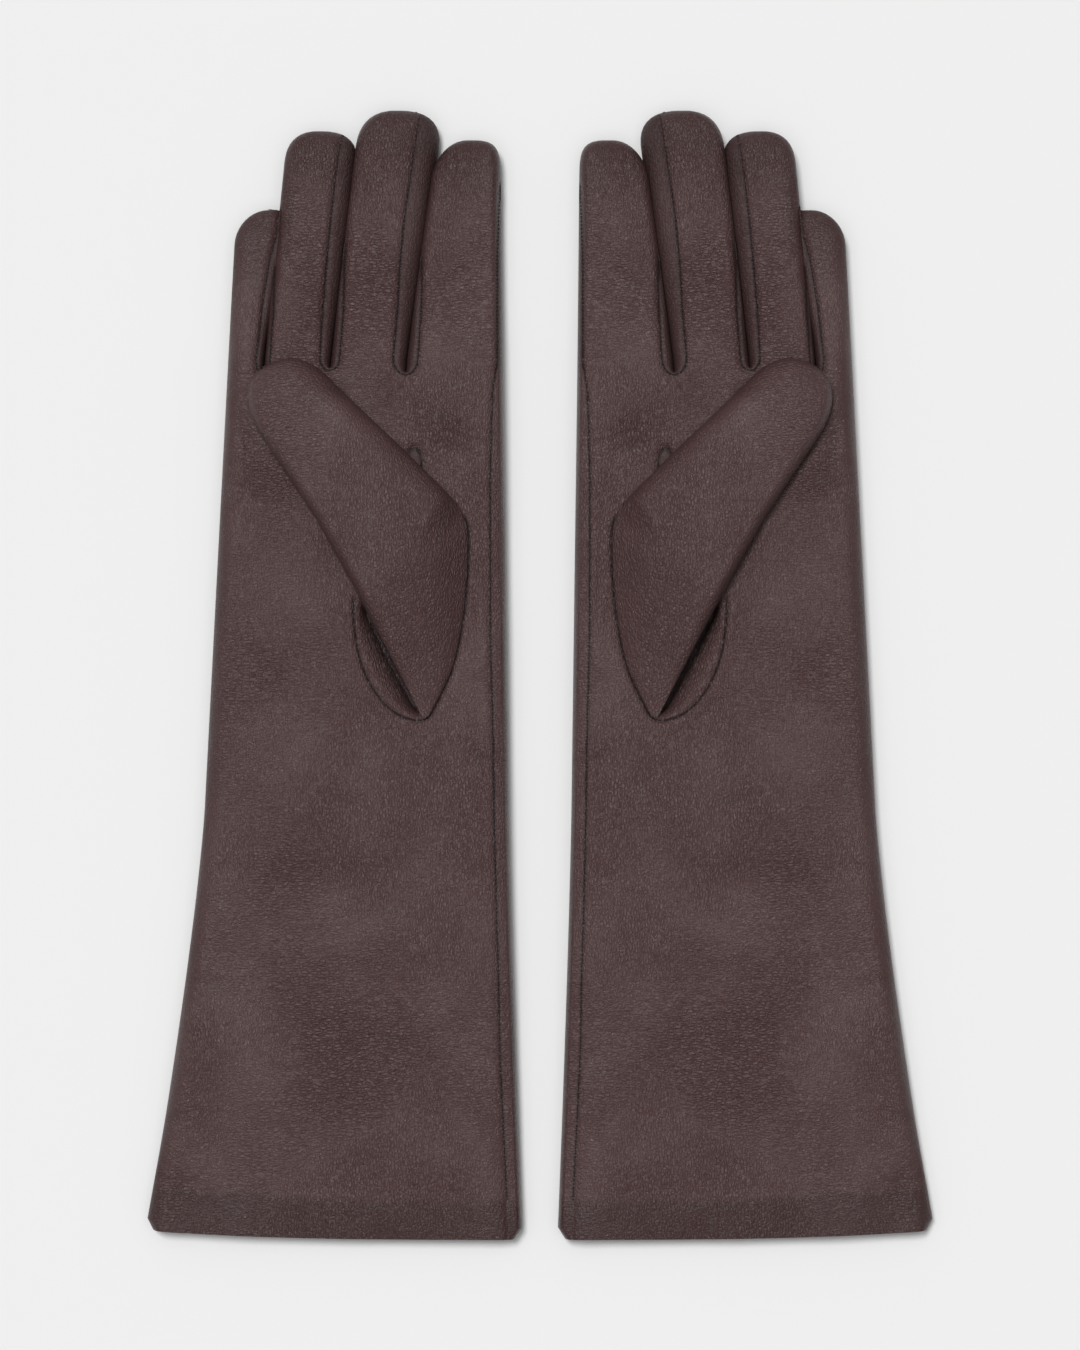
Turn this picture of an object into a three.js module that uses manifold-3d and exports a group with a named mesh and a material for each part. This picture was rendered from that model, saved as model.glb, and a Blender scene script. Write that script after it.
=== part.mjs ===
// A pair of long leather dress gloves lying side by side, palm up.
// Millimetres, +Z up, +Y toward the fingertips. The origin is on the resting plane under the
// middle of the pair. The right-hand glove is modelled on the -X side and the left-hand glove
// is its mirror image.
import * as THREE from 'three';
import { mergeVertices } from 'three/addons/utils/BufferGeometryUtils.js';
import Module from 'manifold-3d';

const wasm = await Module();
wasm.setup();

// ---- driving dimensions -------------------------------------------------------------------
const leather = 0.8; // thickness of the skin
const liningCloth = 0.5; // thickness of the knitted lining
const liningAir = 0.6; // room between skin and lining
const facingAir = 0.3; // room between skin and turned hem
const touch = 0.3; // gap between pieces that meet
const seamSlit = 1.4; // width of the slit that a seam's thread lies in
const threadRadius = 0.35;

const gauntletLength = 140.8; // hem to wrist
const palmLength = 141; // wrist to finger roots
const hemWidth = 121; // flat width of the hem
const wristWidth = 97.3; // flat width of the wrist
const hemHeight = 9.6; // thickness of the empty glove at the hem
const palmHeight = 13; // thickness of the empty glove from wrist to finger roots
const hemTurn = 14; // depth of the turned hem
const pairGap = 11.2; // room between the two hems
const wristInset = 4.5; // how much further apart the wrists are than the hems, each side
const rootInset = 6.4; // the same at the finger roots
const flarePower = 1.45; // how late the gauntlet flares

const fingerThinning = 0.4; // how much thinner an empty finger is than the palm
const fingerGap = 0.5; // room between neighbouring fingers
const straightRoot = 14; // length over which the fingers stay parallel above their roots
const fingers = [
  { name: 'index', width: 30, length: 70.5, tip: 12 },
  { name: 'middle', width: 23.5, length: 79.8, tip: 13 },
  { name: 'ring', width: 21, length: 73.4, tip: 12 },
  { name: 'little', width: 13.5, length: 48.1, tip: 8 },
];
const edgeLean = [-0.012, 0.16, 0.116, 0.1, 0.1]; // lean of each finger edge, mm per mm

const thumbFromEdge = 29.5; // thumb crease inward from the index-side edge
const thumbFromRoots = 63.7; // thumb crease below the finger roots
const thumbLength = 76.4;
const thumbHeight = 11;
const thumbTip = 17.4; // length of the rounded tip
const thumbSides = [ // along the thumb, left edge, right edge
  { along: 0, left: -20.3, right: 22 },
  { along: 29, left: -16.4, right: 19.2 },
  { along: 59, left: -14.6, right: 14.1 },
];
const mouthHalfWidth = 17; // half width of the gusset's mouth
const thumbDirection = new THREE.Vector3(-0.6, 0.8, 0);
const thumbAcross = new THREE.Vector3(0.8, 0.6, 0);
const teardrop = [ // the thumb hole, from the thumb crease
  [18.5, 9.5], [18.8, -4], [14.1, -33.5], [3.2, -51.7], [-10, -44.5],
  [-17.5, -25], [-18, -5], [-12, 14], [2, 25], [13, 22],
];
const quirkLength = 8.5; // the small gore above the thumb hole
const quirkWidth = 4.6;
const quirkFromCrease = [1.5, 31.2];

// ---- derived places -----------------------------------------------------------------------
const fingerHeight = palmHeight - fingerThinning;
const middleFinger = fingers[1];
const totalLength = gauntletLength + palmLength + middleFinger.length;
const hemY = -totalLength / 2;
const wristY = hemY + gauntletLength;
const rootsY = wristY + palmLength;
const rootsWidth = fingers.reduce((sum, finger) => sum + finger.width, 0);
const rootsEdgeX = -(pairGap / 2 + rootInset);
const liningInset = leather + liningAir;
const facingInset = leather + facingAir;
const thumbCrease = new THREE.Vector3(rootsEdgeX - thumbFromEdge, rootsY - thumbFromRoots, 0);
const thumbFloor = palmHeight + touch;
const sideSeam = 1.1; // the side seam's place round the section, just past the palm's flat
const fingerSeam = 0.2; // a finger seam's place on its corner, as a share of the corner
const tipEnd = THREE.MathUtils.degToRad(84); // where the rounded tips close up

// ---- materials ----------------------------------------------------------------------------
const materialOf = {
  leather: { color: 0x544341, roughness: 0.5 },
  facing: { color: 0x4a3a38, roughness: 0.6 },
  cloth: { color: 0x3b2f2c, roughness: 0.9 },
  thread: { color: 0x241916, roughness: 0.8 },
};

const mesh = (name, geometry, kind) => {
  const material = new THREE.MeshStandardMaterial({ ...materialOf[kind], metalness: 0 });
  const piece = new THREE.Mesh(geometry, material);
  piece.name = name;
  return piece;
};

// ---- shells -------------------------------------------------------------------------------
// Turns a geometry's faces outward, whatever way its surface function runs.
const facingOut = (geometry) => {
  const { position } = geometry.attributes;
  const index = geometry.index.array;
  const corners = [new THREE.Vector3(), new THREE.Vector3(), new THREE.Vector3()];
  let volume = 0;
  for (let i = 0; i < index.length; i += 3) {
    corners.forEach((corner, k) => corner.fromBufferAttribute(position, index[i + k]));
    volume += corners[0].dot(corners[1].cross(corners[2]));
  }
  if (volume < 0) {
    for (let i = 0; i < index.length; i += 3) {
      [index[i], index[i + 1]] = [index[i + 1], index[i]];
    }
  }
  geometry.computeVertexNormals();
  return geometry;
};

// A thin panel: columns run round the section, rows along the glove, and the inset is measured
// inward from the outer surface.
const panel = (columns, rows, insets, surface) => {
  const geometry = new THREE.BoxGeometry(1, 1, 1, columns.length - 1, rows.length - 1, 1);
  const { position } = geometry.attributes;
  for (let i = 0; i < position.count; i += 1) {
    const column = Math.round((position.getX(i) + 0.5) * (columns.length - 1));
    const row = Math.round((position.getY(i) + 0.5) * (rows.length - 1));
    const inset = position.getZ(i) > 0 ? insets[0] : insets[1];
    position.setXYZ(i, ...surface(columns[column], rows[row], inset).toArray());
  }
  return facingOut(geometry);
};

// The same for a closed sleeve, whose last column meets its first.
const sleeve = (columns, rows, insets, surface) => {
  const profile = [];
  rows.forEach((row, i) => profile.push(new THREE.Vector2(2, i)));
  rows.forEach((row, i) => profile.push(new THREE.Vector2(1, rows.length - 1 - i)));
  profile.push(profile[0].clone());
  const geometry = new THREE.LatheGeometry(profile, columns.length);
  const { position } = geometry.attributes;
  for (let i = 0; i < position.count; i += 1) {
    const turn = Math.atan2(position.getX(i), position.getZ(i)) / (2 * Math.PI);
    const column = Math.round((turn + 1) * columns.length) % columns.length;
    const row = Math.round(position.getY(i));
    const inset = Math.hypot(position.getX(i), position.getZ(i)) > 1.5 ? insets[0] : insets[1];
    position.setXYZ(i, ...surface(columns[column], rows[row], inset).toArray());
  }
  return facingOut(geometry);
};

// A point round a flattened tube's section. Places 0 to 1 run along the flat top toward +X,
// 1 to 2 down the +X side, 2 to 3 back along the flat bottom and 3 to 4 up the -X side.
const sectionPoint = (place, halfWidth, halfHeight, corner) => {
  const wrapped = ((place % 4) + 4) % 4;
  const leg = Math.floor(wrapped);
  const share = wrapped - leg;
  const flat = halfWidth - corner;
  if (leg === 0) return [flat * (2 * share - 1), halfHeight];
  if (leg === 2) return [flat * (1 - 2 * share), -halfHeight];
  const angle = share * Math.PI;
  const side = leg === 1 ? 1 : -1;
  const top = leg === 1 ? 1 : -1;
  return [side * (flat + corner * Math.sin(angle)), top * halfHeight * Math.cos(angle)];
};

// Places between two ends, with one at each end of every flat and four steps to a side.
const placesBetween = (from, to) => {
  const steps = [0, 1, 1.25, 1.5, 1.75, 2, 3, 3.25, 3.5, 3.75];
  const all = [-4, 0, 4].flatMap((turn) => steps.map((step) => step + turn));
  return [from, ...all.filter((place) => place > from + 0.05 && place < to - 0.05), to];
};
const allRound = placesBetween(0, 4).slice(0, -1);

// ---- hand and gauntlet --------------------------------------------------------------------
const handSection = (y) => {
  if (y < wristY) {
    const flare = ((wristY - y) / gauntletLength) ** flarePower;
    return {
      edge: -(pairGap / 2 + wristInset * (1 - flare)),
      width: THREE.MathUtils.lerp(wristWidth, hemWidth, flare),
      height: THREE.MathUtils.lerp(palmHeight, hemHeight, flare),
    };
  }
  const rise = (y - wristY) / palmLength;
  return {
    edge: -(pairGap / 2 + THREE.MathUtils.lerp(wristInset, rootInset, rise)),
    width: THREE.MathUtils.lerp(wristWidth, rootsWidth, rise),
    height: palmHeight,
  };
};

const handSurface = (place, y, inset) => {
  const { edge, width, height } = handSection(y);
  const half = height / 2;
  const [x, z] = sectionPoint(place, width / 2 - inset, half - inset, half - inset);
  return new THREE.Vector3(edge - width / 2 + x, y, half + z);
};

const handRows = (from, to) => {
  const steps = [0.15, 0.35, 0.6, 0.8].map((share) => wristY - gauntletLength * (1 - share));
  const rows = [...steps, wristY, wristY + palmLength / 2];
  return [from, ...rows.filter((y) => y > from + 1 && y < to - 1), to];
};

// ---- booleans -----------------------------------------------------------------------------
const toSolid = (geometry) => {
  const bare = geometry.clone();
  bare.deleteAttribute('normal');
  bare.deleteAttribute('uv');
  const merged = mergeVertices(bare, 1e-4);
  return new wasm.Manifold(new wasm.Mesh({
    numProp: 3,
    vertProperties: new Float32Array(merged.attributes.position.array),
    triVerts: new Uint32Array(merged.index.array),
  }));
};

const toGeometry = (solid) => {
  const cut = solid.getMesh();
  const geometry = new THREE.BufferGeometry();
  geometry.setAttribute('position', new THREE.BufferAttribute(cut.vertProperties, 3));
  geometry.setIndex(new THREE.BufferAttribute(cut.triVerts, 1));
  geometry.computeVertexNormals();
  return geometry;
};

const cutAway = (geometry, cutters) => toGeometry(
  cutters.reduce((solid, cutter) => solid.subtract(toSolid(cutter)), toSolid(geometry)),
);

// ---- thumb hole, gusset and quirk -----------------------------------------------------------
const holeCurve = new THREE.CatmullRomCurve3(
  teardrop.map(([x, y]) => new THREE.Vector3(x, y, 0).add(thumbCrease)),
  true,
);
const holeSteps = 32;

// A point on the thumb hole's edge, moved inward across its tangent.
const holePoint = (share, inset) => {
  const tangent = holeCurve.getTangentAt(share);
  const inward = new THREE.Vector3(tangent.y, -tangent.x, 0);
  return holeCurve.getPointAt(share).addScaledVector(inward, inset);
};

const upright = (outline, bottom, top) => {
  const shape = new THREE.Shape(outline.map((point) => new THREE.Vector2(point.x, point.y)));
  const options = { depth: top - bottom, bevelEnabled: false };
  return new THREE.ExtrudeGeometry(shape, options).translate(0, 0, bottom);
};

const holeOutline = Array.from({ length: holeSteps }, (_, i) => holePoint(i / holeSteps, 0));
const thumbHoleCutter = () => upright(holeOutline, palmHeight / 2, palmHeight * 2);

// The quirk is a pointed oval: two arcs between its ends.
const quirkOutline = (grow) => {
  const arc = 6;
  const [x, y] = quirkFromCrease;
  const outline = [];
  for (let i = 0; i < 2 * arc; i += 1) {
    const angle = (i * Math.PI) / arc;
    const point = new THREE.Vector3(
      (quirkWidth / 2 + grow) * Math.sin(angle),
      (quirkLength / 2 + grow) * Math.cos(angle),
      0,
    );
    outline.push(point.add(new THREE.Vector3(x, y, 0)).add(thumbCrease));
  }
  return outline;
};

// The gusset rises from the hole's lower edge to an arched mouth at the thumb crease, and lies
// flat between the crease and the hole's upper edge.
const gussetSurface = (share, rise, inset) => {
  const base = holePoint(share, seamSlit + inset);
  const fromCrease = base.clone().sub(thumbCrease);
  const angle = Math.atan2(fromCrease.dot(thumbDirection), fromCrease.dot(thumbAcross));
  const arch = thumbHeight * Math.max(0, -Math.sin(angle));
  const across = (mouthHalfWidth - inset) * Math.cos(angle);
  const mouth = thumbCrease.clone().addScaledVector(thumbAcross, across);
  const point = base.lerp(mouth, rise);
  point.z = palmHeight - inset + arch * rise;
  return point;
};

const gussetGeometry = () => sleeve(
  Array.from({ length: holeSteps }, (_, i) => i / holeSteps),
  [0, 0.35, 0.7, 1],
  [0, leather],
  gussetSurface,
);

// ---- thumb --------------------------------------------------------------------------------
const thumbWidthAt = (along) => {
  const next = thumbSides.findIndex((side) => side.along >= along);
  if (next <= 0) return thumbSides.at(next);
  const [a, b] = [thumbSides[next - 1], thumbSides[next]];
  const share = (along - a.along) / (b.along - a.along);
  return {
    left: THREE.MathUtils.lerp(a.left, b.left, share),
    right: THREE.MathUtils.lerp(a.right, b.right, share),
  };
};

// Rows are either a distance along the straight part or an angle round the tip.
const tubeRows = (start, tipStart, middle) => [
  { along: start, turn: 0 },
  ...middle.map((along) => ({ along, turn: 0 })),
  ...[0, 0.3, 0.55, 0.8, 1].map((share) => ({ along: tipStart, turn: share * tipEnd })),
];

const thumbTipStart = thumbLength - thumbTip;
const thumbSurface = (place, row, inset) => {
  const { left, right } = thumbWidthAt(row.along);
  const shrink = Math.cos(row.turn);
  const half = thumbHeight / 2 - inset;
  const [q, z] = sectionPoint(
    place,
    ((right - left) / 2 - inset) * shrink,
    half * shrink,
    half * shrink,
  );
  const along = row.along + (thumbTip - inset) * Math.sin(row.turn);
  const point = thumbCrease.clone().addScaledVector(thumbDirection, along);
  point.addScaledVector(thumbAcross, (left + right) / 2 + q);
  point.z = thumbFloor + thumbHeight / 2 + z;
  return point;
};

// ---- fingers ------------------------------------------------------------------------------
// Edge 0 is the index finger's outer edge and edge 4 the little finger's.
const edgeX = (number, y) => {
  const used = fingers.slice(0, number).reduce((sum, finger) => sum + finger.width, 0);
  const lean = edgeLean[number] * Math.max(0, y - rootsY - straightRoot);
  return rootsEdgeX - used + lean;
};

const fingerSurface = (number) => (place, row, inset) => {
  const { tip } = fingers[number];
  const right = edgeX(number, row.along) - fingerGap / 2;
  const left = edgeX(number + 1, row.along) + fingerGap / 2;
  const shrink = Math.cos(row.turn);
  const half = fingerHeight / 2 - inset;
  const corner = Math.min(half, (right - left) / 2 - inset);
  const [x, z] = sectionPoint(
    place,
    ((right - left) / 2 - inset) * shrink,
    half * shrink,
    corner * shrink,
  );
  const y = row.along + (tip - inset) * Math.sin(row.turn);
  return new THREE.Vector3((left + right) / 2 + x, y, fingerHeight / 2 + z);
};

const fingerRows = (finger) => tubeRows(
  rootsY + touch,
  rootsY + finger.length - finger.tip,
  [rootsY + straightRoot],
);

// Each finger's skins: a name and the two seams it runs between. The index finger's back wraps
// round to the side seam, and the little finger's palm and back are one folded skin.
const topSeams = { left: -fingerSeam, right: 1 + fingerSeam };
const backSeams = { right: 2 - fingerSeam, left: 3 + fingerSeam };
const fingerSkins = {
  index: {
    palm: [topSeams.left, sideSeam],
    back: [sideSeam, backSeams.left],
    fourchette: [backSeams.left, 4 + topSeams.left],
  },
  middle: {
    palm: [topSeams.left, topSeams.right],
    back: [backSeams.right, backSeams.left],
    fourchette_radial: [topSeams.right, backSeams.right],
    fourchette_ulnar: [backSeams.left, 4 + topSeams.left],
  },
  ring: {
    palm: [topSeams.left, topSeams.right],
    back: [backSeams.right, backSeams.left],
    fourchette_radial: [topSeams.right, backSeams.right],
    fourchette_ulnar: [backSeams.left, 4 + topSeams.left],
  },
  little: {
    stall: [backSeams.right, 4 + topSeams.right],
    fourchette: [topSeams.right, backSeams.right],
  },
};

// ---- one glove ----------------------------------------------------------------------------
// A gap of the given width as a share of a side's arc.
const arcShare = (gap, height) => gap / (Math.PI * (height / 2));

const trank = (side) => {
  const slit = arcShare(seamSlit / 2, palmHeight);
  const columns = placesBetween(sideSeam + slit, 4 + sideSeam - slit);
  const skin = panel(columns, handRows(hemY, rootsY), [0, leather], handSurface);
  const quirkHole = upright(quirkOutline(touch), palmHeight / 2, palmHeight * 2);
  return mesh(`${side}_trank`, cutAway(skin, [thumbHoleCutter(), quirkHole]), 'leather');
};

const handLining = (side) => {
  const rows = handRows(hemY + hemTurn + touch, rootsY);
  const cloth = sleeve(allRound, rows, [liningInset, liningInset + liningCloth], handSurface);
  return mesh(`${side}_hand_lining`, cutAway(cloth, [thumbHoleCutter()]), 'cloth');
};

const hemFacing = (side) => mesh(
  `${side}_hem_facing`,
  sleeve(allRound, [hemY + touch, hemY + hemTurn], [facingInset, facingInset + leather], handSurface),
  'facing',
);

const threadAlong = (name, curve, steps) => {
  const section = new THREE.Shape();
  section.absarc(0, 0, threadRadius, 0, 2 * Math.PI);
  const options = { extrudePath: curve, steps, curveSegments: 3 };
  return mesh(name, new THREE.ExtrudeGeometry(section, options), 'thread');
};

const sideSeamThread = (side) => {
  const points = handRows(hemY + touch, rootsY - touch).map(
    (y) => handSurface(sideSeam, y, leather / 2),
  );
  return threadAlong(`${side}_side_seam_thread`, new THREE.CatmullRomCurve3(points), 16);
};

const thumbSeamThread = (side) => {
  const points = Array.from({ length: holeSteps }, (_, i) => {
    const point = holePoint(i / holeSteps, seamSlit / 2);
    point.z = palmHeight - leather / 2;
    return point;
  });
  return threadAlong(`${side}_thumb_seam_thread`, new THREE.CatmullRomCurve3(points), 40);
};

const fingerPieces = (side, finger, number) => {
  const surface = fingerSurface(number);
  const rows = fingerRows(finger);
  const slit = arcShare(touch / 2, fingerHeight);
  const skins = Object.entries(fingerSkins[finger.name]).map(([part, [from, to]]) => mesh(
    `${side}_${finger.name}_${part}`,
    panel(placesBetween(from + slit, to - slit), rows, [0, leather], surface),
    'leather',
  ));
  const cloth = sleeve(allRound, rows, [liningInset, liningInset + liningCloth], surface);
  return [...skins, mesh(`${side}_${finger.name}_lining`, cloth, 'cloth')];
};

const thumbPieces = (side) => {
  const rows = tubeRows(touch, thumbTipStart, [thumbSides[1].along]);
  const clothInsets = [liningInset, liningInset + liningCloth];
  return [
    mesh(`${side}_thumb_leather`, sleeve(allRound, rows, [0, leather], thumbSurface), 'leather'),
    mesh(`${side}_thumb_lining`, sleeve(allRound, rows, clothInsets, thumbSurface), 'cloth'),
  ];
};

const glove = (side) => {
  const group = new THREE.Group();
  group.add(trank(side), handLining(side), hemFacing(side));
  group.add(mesh(`${side}_thumb_gusset`, gussetGeometry(), 'leather'));
  const quirk = upright(quirkOutline(0), palmHeight - leather, palmHeight);
  group.add(mesh(`${side}_thumb_quirk`, quirk, 'leather'));
  group.add(sideSeamThread(side), thumbSeamThread(side));
  fingers.forEach((finger, number) => group.add(...fingerPieces(side, finger, number)));
  group.add(...thumbPieces(side));
  return group;
};

const group = new THREE.Group();
const leftGlove = glove('left');
leftGlove.scale.x = -1;
group.add(glove('right'), leftGlove);

export default group;
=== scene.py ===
"""A pair of long lined leather gloves, palm up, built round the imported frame.

Lengths are in millimetres until a mesh is made, and every mesh is in metres. The right-hand
glove lies on the -X side. The left-hand glove is made by the same functions, mirrored.
A section runs round a flattened tube by place: 0 is its right edge, 0 to 1 the right upper
corner, 1 to 2 the top, 2 to 3 the left upper corner, 3 its left edge, and 3 to 6 back underneath.
"""

import math

import bmesh
import bpy
import numpy as np
from mathutils import Matrix, Vector, kdtree, noise


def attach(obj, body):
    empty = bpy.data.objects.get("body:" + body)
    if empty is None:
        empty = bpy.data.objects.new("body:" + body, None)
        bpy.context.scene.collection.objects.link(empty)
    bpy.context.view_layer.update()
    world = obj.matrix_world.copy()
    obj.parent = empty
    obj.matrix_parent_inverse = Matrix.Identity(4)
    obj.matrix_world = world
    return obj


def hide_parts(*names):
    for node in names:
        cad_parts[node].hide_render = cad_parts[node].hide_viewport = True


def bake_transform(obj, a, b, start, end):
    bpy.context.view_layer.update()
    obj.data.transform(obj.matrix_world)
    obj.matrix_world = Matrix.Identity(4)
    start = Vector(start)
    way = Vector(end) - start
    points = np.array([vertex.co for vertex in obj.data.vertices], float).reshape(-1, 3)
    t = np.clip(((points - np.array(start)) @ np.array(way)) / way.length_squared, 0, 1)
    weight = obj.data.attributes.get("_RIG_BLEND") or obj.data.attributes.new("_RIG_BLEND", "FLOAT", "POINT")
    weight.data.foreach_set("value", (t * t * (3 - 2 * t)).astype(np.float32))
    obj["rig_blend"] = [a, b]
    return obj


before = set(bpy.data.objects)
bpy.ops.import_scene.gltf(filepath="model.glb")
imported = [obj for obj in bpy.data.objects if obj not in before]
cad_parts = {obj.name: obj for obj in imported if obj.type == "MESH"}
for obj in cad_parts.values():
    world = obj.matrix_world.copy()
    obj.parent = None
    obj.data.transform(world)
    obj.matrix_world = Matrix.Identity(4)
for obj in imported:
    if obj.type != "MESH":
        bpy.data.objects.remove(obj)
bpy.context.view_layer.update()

MM = 0.001

# ---- sizes of the glove --------------------------------------------------------------------
HEM_Y = -180.8
WRIST_Y = -40.0
ROOTS_Y = 101.0
HEM_WIDTH = 121.0
WRIST_WIDTH = 97.3
ROOTS_WIDTH = 88.0
HEM_EDGE = 5.6  # from the middle of the pair to the hem's near edge
WRIST_EDGE = 10.1
ROOTS_EDGE = 12.0
FLARE_POWER = 1.25
HEM_HEIGHT = 9.6
PALM_HEIGHT = 13.0
HEM_TURN = 13.5
HEM_CORNER = 2.4  # how far the hem's corners are drawn in
HEM_RISE = 3.0  # how much higher the hem's far corner lies
HEM_RISE_REACH = 45.0  # how far up the gauntlet that rise fades out
CORNER_REACH = 3.5  # how far along each edge a hem corner is drawn in
BAND_STEP = 0.4  # how far the turned hem stands up over its facing
BAND_WANDER = 2.2  # how unevenly the band's upper edge runs, for each millimetre of swell
BAND_EASE_IN = 2.2  # the band fades out from this far below its edge
BAND_EASE_OUT = 1.2  # to this far above it
FOLD_SHADE = 3.0  # how far in from the little-finger fold the painted shade reaches
ROOT_DIP_REACH = 30.0  # rows this near the finger roots begin to follow the crotches
LEATHER = 0.8
KNIT = 0.5
LINING_INSET = 1.5
LINING_GAP = 0.6  # air between the leather and the lining, above and below
SAG = 5.5  # how far the lining sags under the base of the thumb
SAG_CENTRE = (-46.0, 8.0)
SAG_SPREAD = (17.0, 26.0)
RIGHT_ROUND = 2.6  # plan width of the rounded edge beside the side seam
LEFT_ROUND = 6.5  # and of the little-finger fold
GROOVE_DEPTH = 0.75
GROOVE_WIDTH = 1.0
BACK_SEAMS_Y = 88.0  # the back of the hand has seams only beyond here, at the crotches
NO_SEAM = 99.0  # distance given where there is no seam
STITCH_STEP = 1.25
STITCH_HALF = (0.5, 0.2, 0.16)  # half length, half width and half height of a stitch
ROOT_BEND = 18.0  # length over which a finger bends at its root
ROOT_GROWTH = 22.0  # length over which a finger takes its own section
LAP_START = 4.0  # a finger begins to lap over its neighbour this far past its root
LAP_END = 34.0  # and laps fully from here
INDEX_LEAN = 0.01  # how far the index finger's free edge leans in, for each millimetre
TIP_FULLNESS = 2.4  # power by which the tips of the fingers and thumb close in height
TIP_SHADE = (34.0, 4.0)  # painted shade deepens from this far before a fingertip to this far
THUMB_BEND = 18.0
STITCH_RISE = 0.12
SUNK_STITCH_RISE = 0.0
JOINT_ROW = 0.15  # how near the next row lies where two skins meet edge to edge

FINGER_ORDER = ["index", "middle", "ring", "little"]
# A seam is given by how far in from the finger's edge it lies, by height.
FINGERS = {
    "index": dict(left=-42.7, lean=0.136, seam_left=[(101, 3.7), (114, 2.7), (123, 1.9), (136, 0)],
                  seam_right=[(101, 1.6), (132, 1.3), (155, 0.3), (171, 0)],
                  tip=171.5, apex=-23.2, dome=12.5, corner_left=2.1, corner_right=3.8,
                  round_left=3.6, round_right=3.2, lift=2.2, drop=0.6, lap=0.0, top=12.2),
    "middle": dict(left=-67.0, lean=0.117, seam_left=[(101, 2.9), (114, 2.4), (130, 1), (141, 0)],
                   seam_right=[(101, 4.2), (117, 4.9), (130, 6.1), (147, 6.8), (181, 6.4)],
                   tip=181.0, apex=-45.6, dome=12.5, corner_left=2.6, corner_right=2.5,
                   round_left=3.6, round_right=8.5, lift=2.0, drop=2.6, lap=1.0, top=11.8),
    "ring": dict(left=-88.2, lean=0.1, seam_left=[(101, 1.9), (115, 1.4), (135, 0)],
                 seam_right=[(101, 3.3), (115, 4.2), (142, 5.1), (159, 5.2), (174, 4.8)],
                 tip=174.4, apex=-70.6, dome=10.5, corner_left=2.6, corner_right=2.5,
                 round_left=3.4, round_right=7.5, lift=1.8, drop=2.6, lap=0.6, top=11.4),
    "little": dict(left=-100.0, lean=0.055, seam_left=None,
                   seam_right=[(101, 2.5), (119, 2.3), (133, 1.4), (141, 0)],
                   tip=149.1, apex=-87.0, dome=11.0, corner_left=2.0, corner_right=3.6,
                   round_left=6.5, round_right=6.5, lift=0.6, drop=2.8, lap=4.0, top=10.6),
}
STRIP_COLUMNS = {"index": 24, "middle": 20, "ring": 18, "little": 9}
FOLD_PLACES = np.linspace(2, 3, 9)
CROTCH_DEPTH = {"index": 5.0, "middle": 3.6, "ring": 6.0}  # below the roots, on each left side

THUMB_CREASE = np.array([-41.5, 37.3])
THUMB_ALONG = np.array([-0.6, 0.8])
THUMB_ACROSS = np.array([0.8, 0.6])
THUMB_LENGTH = 76.6
THUMB_TIP = 18.0
THUMB_APEX = -2.3
THUMB_LEFT = [(-46, -27.9), (-20, -23.6), (0, -20.3), (28, -16.4), (58, -14.6), (80, -14.0)]
THUMB_RIGHT = [(0, 21.7), (2, 22.2), (5, 22.5), (9, 22.1), (29, 19.2), (59, 14.1), (80, 12.6)]
THUMB_TOP = 22.6
THUMB_FLOOR = 13.5
THUMB_FOLD_SHARE = 0.42  # how far up the thumb its left fold lies
THUMB_SUNK = 0.55  # how far below the palm the gusset's right edge is sewn
THUMB_FREE_RISE = 3.4  # how far above that the free thumb's right edge lies
THUMB_CROWN = 0.8
THUMB_FREE = (-2.0, 14.0)  # where along it the thumb comes free of the palm
THUMB_RISEN = (-50.0, 6.0)  # where along it the thumb rises to its full height
THUMB_ROUND_LEFT = 3.4
THUMB_ROUND_RIGHT = 7.5
THUMB_SWELL = 0.4  # how much of the hand's swells the thumb has
GUSSET_START = -44.1  # the bottom of the teardrop, along the thumb
GUSSET_DENSE = 6.1  # length of the first rows, which lie closer together
LOBE_RISE = 1.1  # of the lens-shaped rim beyond the valley
VALLEY_DEPTH = 6.0  # of the valley beside the thumb's fold
VALLEY_SHARE = 0.3  # how much of the way to the seam the valley's steep side takes
# The thumb seam in thumb measures (along, across): from the crease on the index side, round
# the bottom of the teardrop, and up the other side to the crease.
THUMB_SEAM = [(0, 21.7), (-3.5, 20.5), (-10, 15.9), (-18, 9.2), (-27, 0.7), (-35.3, -8.8),
              (-39.7, -16), (-43.3, -23.1), (-44.1, -25.7), (-43.3, -28.5), (-40.1, -31.7),
              (-35.8, -33.8), (-29.6, -34.7), (-22.9, -34.1), (-15.7, -32), (-9.3, -28.9),
              (-3.3, -25.1), (0, -22.6)]
SIDE_SEAM = [(HEM_Y, 4.3), (-121.6, 5.0), (-95, 4.6), (-24, 4.6), (15.7, 5.0), (63.3, 4.4),
             (89.4, 3.4), (99, 1.9), (ROOTS_Y, 1.6)]  # distance from the near edge, by height


# ---- small helpers -------------------------------------------------------------------------
def smooth(value, start, end):
    """0 before start, 1 after end, and an even turn between them."""
    share = np.clip((np.asarray(value, float) - start) / (end - start), 0, 1)
    return share * share * (3 - 2 * share)


def along(points, value):
    """Reads a curve given as (place, size) pairs, in place order, at the places in value."""
    places, sizes = zip(*points)
    return np.interp(value, places, sizes)


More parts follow.
